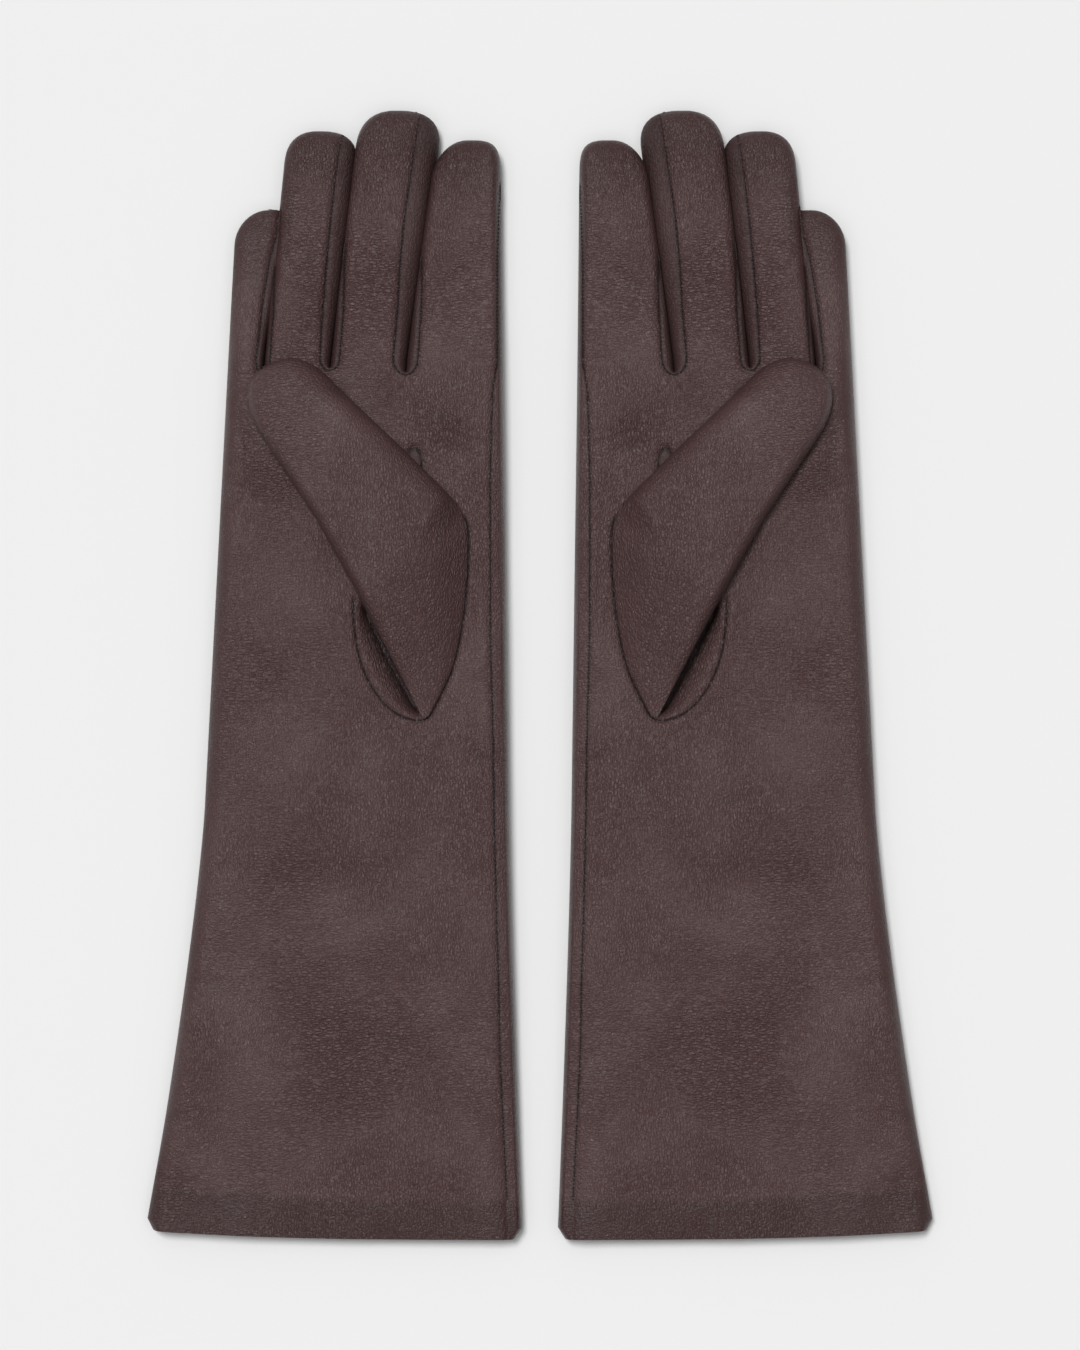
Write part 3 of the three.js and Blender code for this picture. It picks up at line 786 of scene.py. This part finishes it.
def hand_places(y):
    """Places of every column at height y, round the hand from lip to lip of the side seam."""
    columns = root_columns()
    shares = (columns - columns[0]) / (columns[-1] - columns[0])
    left, right = hand_outline(y)[:2]
    seam = side_seam_x(y)
    x = seam[:, None] + (left + LEFT_ROUND - seam)[:, None] * shares[None, :]
    top = place_of(x, left[:, None], right[:, None], LEFT_ROUND, RIGHT_ROUND)
    fold = np.repeat(FOLD_PLACES[None, 1:], len(y), axis=0)
    top = np.concatenate([top, fold], axis=1)
    wrap = np.linspace(-1, 1, 11)[None, 1:] * top[:, :1]
    return np.concatenate([top, 6 - top[:, -2::-1], 6 + wrap], axis=1)


def hem_lift(x, y):
    """The hem lies a little higher toward its far corner."""
    left, right = hand_outline(y)[:2]
    share = np.clip((right - x) / (right - left), 0, 1)
    return HEM_RISE * share ** 3 * (1 - smooth(y, HEM_Y, HEM_Y + HEM_RISE_REACH))


def hand_rows():
    return np.concatenate([
        np.linspace(HEM_Y, WRIST_Y, 80)[:-1],
        np.linspace(WRIST_Y, -20, 11)[:-1],
        np.linspace(-20, ROOTS_Y, 94)[:-1],
        [ROOTS_Y - JOINT_ROW, ROOTS_Y],
    ])


def hand_points(y, places, inset=0.0):
    """Points of the hand's skin. Rows near the fingers bend to the shape of the roots."""
    rows = y[:, None] + np.zeros_like(places)
    left, right, height = hand_outline(rows)
    x, rise = section(places, left + inset, right - inset, LEFT_ROUND - inset,
                      RIGHT_ROUND - inset)
    near_left = np.exp(-((x - left) / CORNER_REACH) ** 2)
    near_right = np.exp(-((right - x) / CORNER_REACH) ** 2)
    at_hem = 1 - smooth(rows, HEM_Y, HEM_Y + CORNER_REACH)
    x = x + HEM_CORNER * at_hem * (near_left - near_right)
    if not inset:
        reach = smooth(rows, ROOTS_Y - ROOT_DIP_REACH, ROOTS_Y)
        rows = rows - (ROOTS_Y - roots_edge(x)) * reach
    z = height / 2 + (height / 2 - inset) * rise
    return x, rows, z, rise


def inside(line, x, y):
    """Whether points lie inside a closed line, by counting crossings."""
    found = np.zeros(np.shape(x), bool)
    for (ax, ay), (bx, by) in zip(line, np.roll(line, -1, axis=0)):
        if ay == by:
            continue
        crosses = (ay > y) != (by > y)
        found ^= crosses & (x < (bx - ax) * (y - ay) / (by - ay) + ax)
    return found


def near_palm(bm, side, margin):
    """The hand's vertices on the palm side in and round the thumb hole, with their places."""
    mirror = -1 if side == "left" else 1
    lines = np.concatenate([thumb_seam_line, quirk_line])
    low, high = lines.min(axis=0) - margin, lines.max(axis=0) + margin
    near = [v for v in bm.verts if v.co.z > 0.7 * PALM_HEIGHT * MM
            and low[0] < v.co.x * mirror / MM < high[0] and low[1] < v.co.y / MM < high[1]]
    x = np.array([v.co.x * mirror / MM for v in near])
    y = np.array([v.co.y / MM for v in near])
    return near, x, y


def cut_thumb_hole(bm, side):
    """Fits the skin's edges to the thumb seam and takes away what lies inside it."""
    mirror = -1 if side == "left" else 1
    closing = np.linspace(thumb_seam_line[-1], thumb_seam_line[0], 80)[1:-1]
    outline = np.concatenate([thumb_seam_line, closing])
    targets = np.concatenate([outline, quirk_line])
    tree = kdtree.KDTree(len(targets))
    for number, point in enumerate(targets):
        tree.insert((point[0], point[1], 0), number)
    tree.balance()
    near, x, y = near_palm(bm, side, 5)
    close_by = {v for v, a, b in zip(near, x, y) if tree.find((a, b, 0))[2] < 2.2}
    edges = [e for e in bm.edges if e.verts[0] in close_by and e.verts[1] in close_by]
    bmesh.ops.subdivide_edges(bm, edges=edges, cuts=2, use_grid_fill=True)
    near = set(near_palm(bm, side, 5)[0])
    faces = [f for f in bm.faces if all(v in near for v in f.verts)]
    middles = np.array([f.calc_center_median() for f in faces]) / MM
    within = inside(outline, middles[:, 0] * mirror, middles[:, 1])
    bmesh.ops.delete(bm, geom=[f for f, w in zip(faces, within) if w], context="FACES")
    rim = {v for e in bm.edges if e.is_boundary for v in e.verts}
    for vert, x, y in zip(*near_palm(bm, side, 5)):
        found, number, away = tree.find((x, y, 0))
        if vert in rim and away < 1:
            vert.co.x = found[0] * mirror * MM
            vert.co.y = found[1] * MM
    near, x, y = near_palm(bm, side, 5)
    z, gap = palm_skin(x, y)
    layer = bm.verts.layers.float["seam"]
    for vert, height, away in zip(near, z, gap):
        vert.co.z = height * MM
        vert[layer] = away


def make_trank(side):
    y = hand_rows()
    places = hand_places(y)
    x, rows, z, rise = hand_points(y, places)
    lift, gap = relief(x, rows, rise)
    z = z + lift
    turned = HEM_Y + HEM_TURN
    wandering = rows + BAND_WANDER * ripple(x, 0.3 * rows)
    band = 1 - smooth(wandering, turned - BAND_EASE_IN, turned + BAND_EASE_OUT)
    z = z + np.where(rise > 0, BAND_STEP * band * smooth(rise, 0.2, 0.8), 0)
    rows = rows + hem_lift(x, rows)
    points = np.stack([x, rows, z], axis=-1)
    mesh, bm = grid_piece("trank", points, side, gap, band)
    cut_thumb_hole(bm, side)
    piece = finish_piece(mesh, bm, skin_leather, [f"{side}_trank"], weld=0.001)
    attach(piece, f"{side}_glove")


def hand_band(name, side, low, high, inset, material, thickness):
    y = np.linspace(low, high, max(3, int((high - low) / 5)))
    steps = np.concatenate([np.linspace(0, 1, 6)[:-1], np.linspace(1, 2, 16)[:-1],
                            np.linspace(2, 4, 12)[:-1], np.linspace(4, 5, 16)[:-1],
                            np.linspace(5, 6, 6)])
    places = steps[None, :] + np.zeros((len(y), 1))
    x, rows, z, rise = hand_points(y, places, inset)
    across, up = (x - SAG_CENTRE[0]) / SAG_SPREAD[0], (rows - SAG_CENTRE[1]) / SAG_SPREAD[1]
    z = z - np.where(rise > 0, SAG * np.exp(-across ** 2 - up ** 2), 0)
    rows = rows + hem_lift(x, rows)
    mesh, bm = grid_piece(name, np.stack([x, rows, z], axis=-1), side)
    piece = finish_piece(mesh, bm, material, [f"{side}_{name}"], thickness)
    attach(piece, f"{side}_glove")


# ---- fingers -------------------------------------------------------------------------------
def finger_points(name, y, close, places):
    shape = finger_shape(name, y[:, None], close[:, None])
    x, rise = section(places, shape["left"], shape["right"], shape["round_left"],
                      shape["round_right"])
    rows = y[:, None] + np.zeros_like(x)
    z = finger_height(shape, x, rise)
    lift, gap = relief(x, rows, rise)
    return x, rows, z + lift * shape["full"], gap


def finger_places(name, y, close):
    """Places of the columns of a finger's palm strip, from its right seam leftwards."""
    shape = finger_shape(name, y, close)
    left, right = finger_seams(name, y, shape)
    fold = shape["left"] + shape["round_left"]
    x = np.array([strip_columns(name, *ends) for ends in zip(right, left, fold)])
    places = place_of(x, shape["left"][:, None], shape["right"][:, None],
                      shape["round_left"][:, None], shape["round_right"][:, None])
    if name != "little":
        return places
    return np.concatenate([places, np.repeat(FOLD_PLACES[None, 1:], len(y), axis=0)], axis=1)


def make_finger_skin(side, name, part, places, y, close, material, slot):
    x, rows, z, gap = finger_points(name, y, close, places)
    mesh, bm = grid_piece(f"{name}_{part}", np.stack([x, rows, z], axis=-1), side, gap)
    node = f"{side}_{name}_{part}"
    return finish_piece(mesh, bm, material, [node])


def make_fourchette(side, name, part, edge):
    """A side strip: it starts at the bottom of the crotch and runs to the fingertip."""
    y, close = finger_rows(name)
    shape = finger_shape(name, y, close)
    seam_x = finger_seams(name, y, shape)[0 if edge == "left" else 1]
    seam = place_of(seam_x, shape["left"], shape["right"], shape["round_left"],
                    shape["round_right"])
    spread = np.linspace(-1, 1, 19)
    if edge == "right":
        places = seam[:, None] * spread[None, :]
    else:
        places = 3 + (3 - seam[:, None]) * spread[None, :]
    x, rows, z, gap = finger_points(name, y, close, places)
    owner = name if edge == "left" else FINGER_ORDER[FINGER_ORDER.index(name) - 1]
    centre, half, depth = CROTCHES[owner]
    turn = np.linspace(math.pi / 2, 0, 8)[:-1]
    toward = 1 if edge == "left" else -1
    root_seam = x[0, 0] if edge == "left" else x[0, -1]
    root_edge = shape[edge][0]
    across = np.clip((x[0] - root_seam) / (root_edge - root_seam), 0, 1)
    seam_x = centre + toward * half * np.cos(turn)
    seam_y = ROOTS_Y - depth * np.sin(turn)
    edge_y = ROOTS_Y - (depth - 1.2) * np.sin(turn)
    share = np.sin(turn)
    edge_x = centre * share + root_edge * (1 - share)
    extra_x = seam_x[:, None] + (edge_x - seam_x)[:, None] * across[None, :]
    extra_y = seam_y[:, None] + (edge_y - seam_y)[:, None] * across[None, :]
    extra_z = np.repeat(z[:1], len(turn), axis=0)
    extra_gap = np.repeat(gap[:1], len(turn), axis=0)
    points = np.concatenate([np.stack([extra_x, extra_y, extra_z], axis=-1),
                             np.stack([x, rows, z], axis=-1)])
    mesh, bm = grid_piece(f"{name}_{part}", points, side, np.concatenate([extra_gap, gap]))
    node = f"{side}_{name}_{part}"
    return finish_piece(mesh, bm, strip_leather, [node])


def make_lining(side, name):
    y, close = finger_rows(name, spacing=4, dome_rows=7)
    shape = finger_shape(name, y[:, None], close[:, None])
    places = np.concatenate([np.linspace(0, 1, 5)[:-1], np.linspace(1, 2, 5)[:-1],
                             np.linspace(2, 4, 9)[:-1], np.linspace(4, 5, 5)[:-1],
                             np.linspace(5, 6, 5)])[None, :] + np.zeros((len(y), 1))
    x, rise = section(places, shape["left"], shape["right"], shape["round_left"],
                      shape["round_right"])
    z = finger_height(shape, x, rise)
    centre_x = (shape["left"] + shape["right"]) / 2
    centre_z = (shape["edge_left"] + shape["edge_right"]) / 2
    shrink_x = 1 - LINING_INSET / np.maximum((shape["right"] - shape["left"]) / 2, 2 * LINING_INSET)
    shrink_z = 1 - (LINING_INSET + LINING_GAP) / (PALM_HEIGHT / 2)
    x = centre_x + (x - centre_x) * shrink_x
    z = centre_z + (z - centre_z) * shrink_z
    rows = np.minimum(y[:, None], FINGERS[name]["tip"] - LINING_INSET) + np.zeros_like(x)
    mesh, bm = grid_piece(f"{name}_lining", np.stack([x, rows, z], axis=-1), side)
    node = f"{side}_{name}_lining"
    return finish_piece(mesh, bm, knit_cloth, [node], KNIT)


def make_finger(side, name):
    y, close = finger_rows(name)
    top = finger_places(name, y, close)
    nappa = (skin_leather, "nappa_leather")
    pieces = [make_lining(side, name)]
    if name == "little":
        places = np.concatenate([top, 6 - top[:, -2::-1]], axis=1)
        pieces.append(make_finger_skin(side, name, "stall", places, y, close, *nappa))
        pieces.append(make_fourchette(side, name, "fourchette", "right"))
    else:
        pieces.append(make_finger_skin(side, name, "palm", top, y, close, *nappa))
        under = 6 - top[:, ::-1]
        if name == "index":
            wrap = np.linspace(-1, 1, 11)[None, 1:] * top[:, :1]
            under = np.concatenate([under, 6 + wrap], axis=1)
            pieces.append(make_fourchette(side, name, "fourchette", "left"))
        else:
            pieces.append(make_fourchette(side, name, "fourchette_radial", "right"))
            pieces.append(make_fourchette(side, name, "fourchette_ulnar", "left"))
        pieces.append(make_finger_skin(side, name, "back", under, y, close, *nappa))
    pieces.append(make_stitches(side, f"{name}_stitches", finger_lines[name]))
    for piece in pieces:
        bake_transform(piece, f"{side}_glove", f"{side}_{name}",
                 start=(0, ROOTS_Y * MM, 0), end=(0, (ROOTS_Y + ROOT_BEND) * MM, 0))


# ---- stitches ------------------------------------------------------------------------------
def make_stitches(side, name, lines, nodes=()):
    """Small sunk stitches along seam lines, one step apart."""
    mirror = -1 if side == "left" else 1
    mesh = bpy.data.meshes.new(f"{side}_{name}_sewn")
    bm = bmesh.new()
    for line in lines:
        legs = np.linalg.norm(np.diff(line, axis=0), axis=1)
        reach = np.concatenate([[0], np.cumsum(legs)])
        for travelled in np.arange(STITCH_STEP / 2, reach[-1] - STITCH_STEP / 2, STITCH_STEP):
            here = np.array([np.interp(travelled, reach, line[:, k]) for k in range(3)])
            ahead = np.array([np.interp(travelled + 0.3, reach, line[:, k]) for k in range(3)])
            middle = Vector((here[0] * mirror, here[1], here[2])) * MM
            way = Vector(((ahead - here)[0] * mirror, (ahead - here)[1], (ahead - here)[2]))
            turn = way.to_track_quat("X", "Z").to_matrix().to_4x4()
            size = Matrix.Diagonal((*(half * MM for half in STITCH_HALF), 1))
            bmesh.ops.create_icosphere(bm, subdivisions=1, radius=1,
                                       matrix=Matrix.Translation(middle) @ turn @ size)
    for face in bm.faces:
        face.smooth = True
    bm.to_mesh(mesh)
    bm.free()
    piece = bpy.data.objects.new(mesh.name, mesh)
    bpy.context.scene.collection.objects.link(piece)
    mesh.materials.append(thread_cloth)
    if nodes:
        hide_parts(*nodes)
    return piece


def hand_line(line, rise=STITCH_RISE):
    """A plan line on the palm, with the height of its stitches in the seam's groove."""
    z = palm_skin(line[:, 0], line[:, 1])[0]
    y = line[:, 1] + hem_lift(line[:, 0], line[:, 1])
    return np.stack([line[:, 0], y, z + rise], axis=1)


# ---- thumb ---------------------------------------------------------------------------------
def thumb_seam_sides(p):
    """Where the thumb seam crosses a row of the gusset: left side, right side."""
    lowest = int(np.argmin(thumb_seam[:, 0]))
    right, left = thumb_seam[:lowest + 1][::-1], thumb_seam[lowest:]
    return (np.interp(p, left[:, 0], left[:, 1]), np.interp(p, right[:, 0], right[:, 1]))


def thumb_section(p, places, close=0.0):
    """Across position and height of the thumb's upper skin at a distance along it, then the
    height and across position of its fold, and the across position of the seam beyond."""
    seam_left, seam_right = thumb_seam_sides(p)
    free = smooth(p, *THUMB_FREE)
    left = along(THUMB_LEFT, p)
    right = np.where(p < 0, seam_right, along(THUMB_RIGHT, p))
    left = np.minimum(np.maximum(left, np.where(p < 0, seam_left, left)), right)
    left = THUMB_APEX - (THUMB_APEX - left) * (1 - close ** 2.1) ** (1 / 2.1)
    right = THUMB_APEX + (right - THUMB_APEX) * (1 - close ** 2.5) ** (1 / 2.5)
    risen = smooth(p, *THUMB_RISEN)
    top = PALM_HEIGHT + risen * (THUMB_TOP - PALM_HEIGHT)
    width = np.maximum(right - left, 0.01)
    round_left = np.minimum(THUMB_ROUND_LEFT, 0.4 * width)
    round_right = np.minimum(np.maximum(THUMB_ROUND_RIGHT, 0.62 * width * (1 - free)), 0.58 * width)
    x, rise = section(places, left, right, round_left, round_right)
    on_right = smooth((right - x) / width, 0, 0.6)
    power = 1 + 0.9 * (1 - free) * (1 - on_right)
    rise = np.sign(rise) * np.abs(rise) ** power
    edge_right = PALM_HEIGHT - THUMB_SUNK + THUMB_FREE_RISE * free
    edge_left = PALM_HEIGHT + THUMB_FOLD_SHARE * (top - PALM_HEIGHT)
    share = np.clip((right - x) / width, 0, 1)
    edge = edge_right + share * (edge_left - edge_right)
    full = (1 - close ** TIP_FULLNESS) ** (1 / TIP_FULLNESS)
    crown = THUMB_CROWN * np.sin(np.pi * share) * risen
    up = (top + crown - edge) * full
    down = (edge - THUMB_FLOOR) * full
    return x, edge + np.where(rise > 0, up, down) * rise, edge_left, left, seam_left


def place_thumb(p, q, z):
    plan = THUMB_CREASE + p[..., None] * THUMB_ALONG + q[..., None] * THUMB_ACROSS
    return np.concatenate([plan, z[..., None]], axis=-1)


def make_gusset(side):
    """The base of the thumb: a crowned flap up to the fold, and the valley beyond it."""
    p = np.concatenate([GUSSET_START + GUSSET_DENSE * np.linspace(0, 1, 16)[:-1] ** 2,
                        np.linspace(GUSSET_START + GUSSET_DENSE, 0, 40)[:-1], [-JOINT_ROW, 0]])
    places = np.concatenate([crowded(26), 1 + np.linspace(0, 1, 10)[1:-1], 2 + crowded(12)])
    grid_p = p[:, None] + np.zeros((1, len(places)))
    q, z, edge_left, left, seam_left = thumb_section(grid_p, places[None, :])
    turn = np.linspace(0, 1, 25)[1:][None, :]
    fold_q, fold_z = left[:, -1:], edge_left[:, -1:]
    seam_q = seam_left[:, -1:]
    width = fold_q - seam_q
    deep = (VALLEY_DEPTH * smooth(p, -44, -37) * (1 - smooth(p, -7, 0)))[:, None]
    bottom_z = PALM_HEIGHT - 0.4 - deep
    sink = np.clip(turn / VALLEY_SHARE, 0, 1)
    climb = np.clip((turn - VALLEY_SHARE) / (1 - VALLEY_SHARE), 0, 1)
    valley_q = fold_q + 0.3 * deep * np.sin(np.pi * sink) - width * (0.1 * sink + 0.9 * climb)
    seam_z = PALM_HEIGHT - GROOVE_DEPTH + 0.1
    lobe = LOBE_RISE * np.sin(np.pi * climb ** 1.3) * smooth(width, 2, 8)
    valley_z = np.where(turn < VALLEY_SHARE,
                        fold_z + (bottom_z - fold_z) * sink ** 1.3,
                        bottom_z + (seam_z - bottom_z) * np.sin(np.pi / 2 * climb) ** 0.9 + lobe)
    q = np.concatenate([q, valley_q], axis=1)
    z = np.concatenate([z, valley_z], axis=1)
    points = place_thumb(p[:, None] + np.zeros_like(q), q, z)
    gap = seam_distance(points[..., 0], points[..., 1])
    # Painted shade: the steep side of the valley beside the fold is given a small seam distance, so the
    # seam's painted shade darkens it.
    shade = smooth(turn, 0.06, VALLEY_SHARE * 0.6) * (1 - smooth(turn, VALLEY_SHARE, 0.62))
    valley_shaded_gap = np.minimum(gap[:, -turn.size:], 0.8 - 0.62 * shade * smooth(deep, 0, 4))
    gap[:, -turn.size:] = np.where(gap[:, -turn.size:] < 0.8, gap[:, -turn.size:], valley_shaded_gap)
    points[..., 2] += THUMB_SWELL * ripple(points[..., 0], points[..., 1]) * smooth(gap, 1, 6)
    mesh, bm = grid_piece("thumb_gusset", points, side, gap)
    return finish_piece(mesh, bm, skin_leather, [f"{side}_thumb_gusset"])


def make_thumb(side):
    start = THUMB_LENGTH - THUMB_TIP
    turn = np.linspace(0, np.pi / 2, 14)
    p = np.concatenate([[0, JOINT_ROW], np.linspace(0, start, 48)[1:-1],
                        start + THUMB_TIP * np.sin(turn)])
    close = np.concatenate([np.zeros(48), np.sin(turn)])
    top = np.concatenate([crowded(26), 1 + np.linspace(0, 1, 10)[1:-1], 2 + crowded(12)])
    places = np.concatenate([top, 3 + np.linspace(0, 3, 30)[1:]])
    grid_p = p[:, None] + np.zeros((1, len(places)))
    q, z = thumb_section(grid_p, places[None, :], close[:, None])[:2]
    points = place_thumb(grid_p, q, z)
    gap = 9 * np.ones(q.shape)
    fade = smooth(places, 0.4, 1.2) * (1 - smooth(places, 2.2, 2.8))
    points[..., 2] += THUMB_SWELL * ripple(points[..., 0], points[..., 1]) * fade[None, :]
    mesh, bm = grid_piece("thumb_leather", points, side, gap)
    return finish_piece(mesh, bm, skin_leather, [f"{side}_thumb_leather"])


def make_thumb_lining(side):
    p = np.linspace(0, THUMB_LENGTH - 3, 16)
    close = np.clip((p - (THUMB_LENGTH - THUMB_TIP)) / THUMB_TIP, 0, 1)
    places = np.linspace(0, 6, 31)
    grid_p = p[:, None] + np.zeros((1, len(places)))
    q, z = thumb_section(grid_p, places[None, :], close[:, None])[:2]
    middle_q = q.mean(axis=1, keepdims=True)
    middle_z = z.mean(axis=1, keepdims=True)
    q = middle_q + 0.88 * (q - middle_q)
    z = middle_z + 0.6 * (z - middle_z)
    mesh, bm = grid_piece("thumb_lining", place_thumb(grid_p, q, z), side)
    return finish_piece(mesh, bm, knit_cloth, [f"{side}_thumb_lining"], KNIT)


def make_quirk(side):
    """The small gore at the top of the thumb hole: a pointed patch, slightly crowned."""
    rings = np.linspace(1, 0.02, 8)
    turn = np.linspace(0, 2 * np.pi, 33)
    x = QUIRK_CENTRE[0] + QUIRK_HALF[0] * rings[:, None] * np.cos(turn)[None, :]
    y = QUIRK_CENTRE[1] + QUIRK_HALF[1] * rings[:, None] * np.sin(turn)[None, :]
    gap = 2.4 * (1 - rings)[:, None] + np.zeros_like(x)
    z = PALM_HEIGHT + 0.12 - 0.5 * np.exp(-(gap / 0.6) ** 2)
    mesh, bm = grid_piece("thumb_quirk", np.stack([x, y, z], axis=-1)[:, ::-1], side, gap)
    return finish_piece(mesh, bm, strip_leather, [f"{side}_thumb_quirk"])


def make_glove(side):
    hand = f"{side}_glove"
    make_trank(side)
    hand_band("hem_facing", side, HEM_Y + 0.3, HEM_Y + HEM_TURN, LEATHER + 0.25,
              flesh_leather, LEATHER)
    hand_band("hand_lining", side, HEM_Y + HEM_TURN, ROOTS_Y - 8, LINING_INSET + LINING_GAP,
              knit_cloth, KNIT)
    for name in FINGER_ORDER:
        make_finger(side, name)
    for piece in (make_thumb(side), make_thumb_lining(side)):
        ends = thumb_to_glove([(0, 0), (THUMB_BEND, 0)]) * MM
        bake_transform(piece, hand, f"{side}_thumb", *mirrored_ends(side, ends))
    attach(make_gusset(side), hand)
    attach(make_quirk(side), hand)
    lines = [hand_line(side_seam_line)]
    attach(make_stitches(side, "side_seam_thread", lines, [f"{side}_side_seam_thread"]), hand)
    lines = [hand_line(thumb_seam_line, SUNK_STITCH_RISE), hand_line(quirk_line, SUNK_STITCH_RISE)]
    lines += [hand_line(crotch_line(name)) for name in CROTCHES]
    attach(make_stitches(side, "thumb_seam_thread", lines, [f"{side}_thumb_seam_thread"]), hand)


def mirrored_ends(side, ends):
    mirror = -1 if side == "left" else 1
    return [(x * mirror, y, THUMB_FLOOR * MM) for x, y in ends]


for glove_side in ("right", "left"):
    make_glove(glove_side)

# ---- floor, light and camera ---------------------------------------------------------------
FRAME_HEIGHT = 0.432  # how much the view takes in, top to bottom
FRAME_LEVEL = 0.010  # the height at which it does
CAMERA_HEIGHT = 1.6
SENSOR_HEIGHT = 24
FLOOR_GREY = 0.84
KEY_POWER = 2.0
KEY_SPREAD = 16  # degrees
KEY_DIRECTION = (0.17, -0.25, -0.95)
SOFTBOX_POWER = 16
SOFTBOX_SIZE = 2.6
SOFTBOX_PLACE = (-0.2, 0.0, 2.2)
WORLD_STRENGTH = 0.2


def make_floor():
    mesh = bpy.data.meshes.new("floor")
    bm = bmesh.new()
    bmesh.ops.create_grid(bm, x_segments=1, y_segments=1, size=3)
    bm.to_mesh(mesh)
    bm.free()
    floor = bpy.data.objects.new("floor", mesh)
    bpy.context.scene.collection.objects.link(floor)
    material, *_, shader = new_nodes("pale_floor")
    shader.inputs["Base Color"].default_value = (FLOOR_GREY, FLOOR_GREY, FLOOR_GREY, 1)
    shader.inputs["Roughness"].default_value = 0.9
    shader.inputs["Specular IOR Level"].default_value = 0.0
    mesh.materials.append(material)


def add_light(name, data):
    light = bpy.data.objects.new(name, data)
    bpy.context.scene.collection.objects.link(light)
    return light


def make_lights():
    """A broad far lamp over the upper left, and a wide softbox overhead."""
    key = bpy.data.lights.new("key", "SUN")
    key.energy = KEY_POWER
    key.angle = math.radians(KEY_SPREAD)
    lamp = add_light("key", key)
    lamp.rotation_euler = Vector(KEY_DIRECTION).to_track_quat("-Z", "Y").to_euler()
    softbox = bpy.data.lights.new("softbox", "AREA")
    softbox.size = SOFTBOX_SIZE
    softbox.energy = SOFTBOX_POWER
    add_light("softbox", softbox).location = SOFTBOX_PLACE


make_floor()
make_lights()

world = bpy.data.worlds.new("studio")
world.use_nodes = True
world.node_tree.nodes["Background"].inputs["Color"].default_value = (1, 1, 1, 1)
world.node_tree.nodes["Background"].inputs["Strength"].default_value = WORLD_STRENGTH
bpy.context.scene.world = world
bpy.context.scene.view_settings.view_transform = "Standard"

camera_data = bpy.data.cameras.new("camera")
camera_data.sensor_fit = "VERTICAL"
camera_data.sensor_height = SENSOR_HEIGHT
camera_data.lens = SENSOR_HEIGHT * (CAMERA_HEIGHT - FRAME_LEVEL) / FRAME_HEIGHT
camera_data.clip_start = 0.05
camera = bpy.data.objects.new("camera", camera_data)
camera.location = (0, 0, CAMERA_HEIGHT)
bpy.context.scene.collection.objects.link(camera)
bpy.context.scene.camera = camera
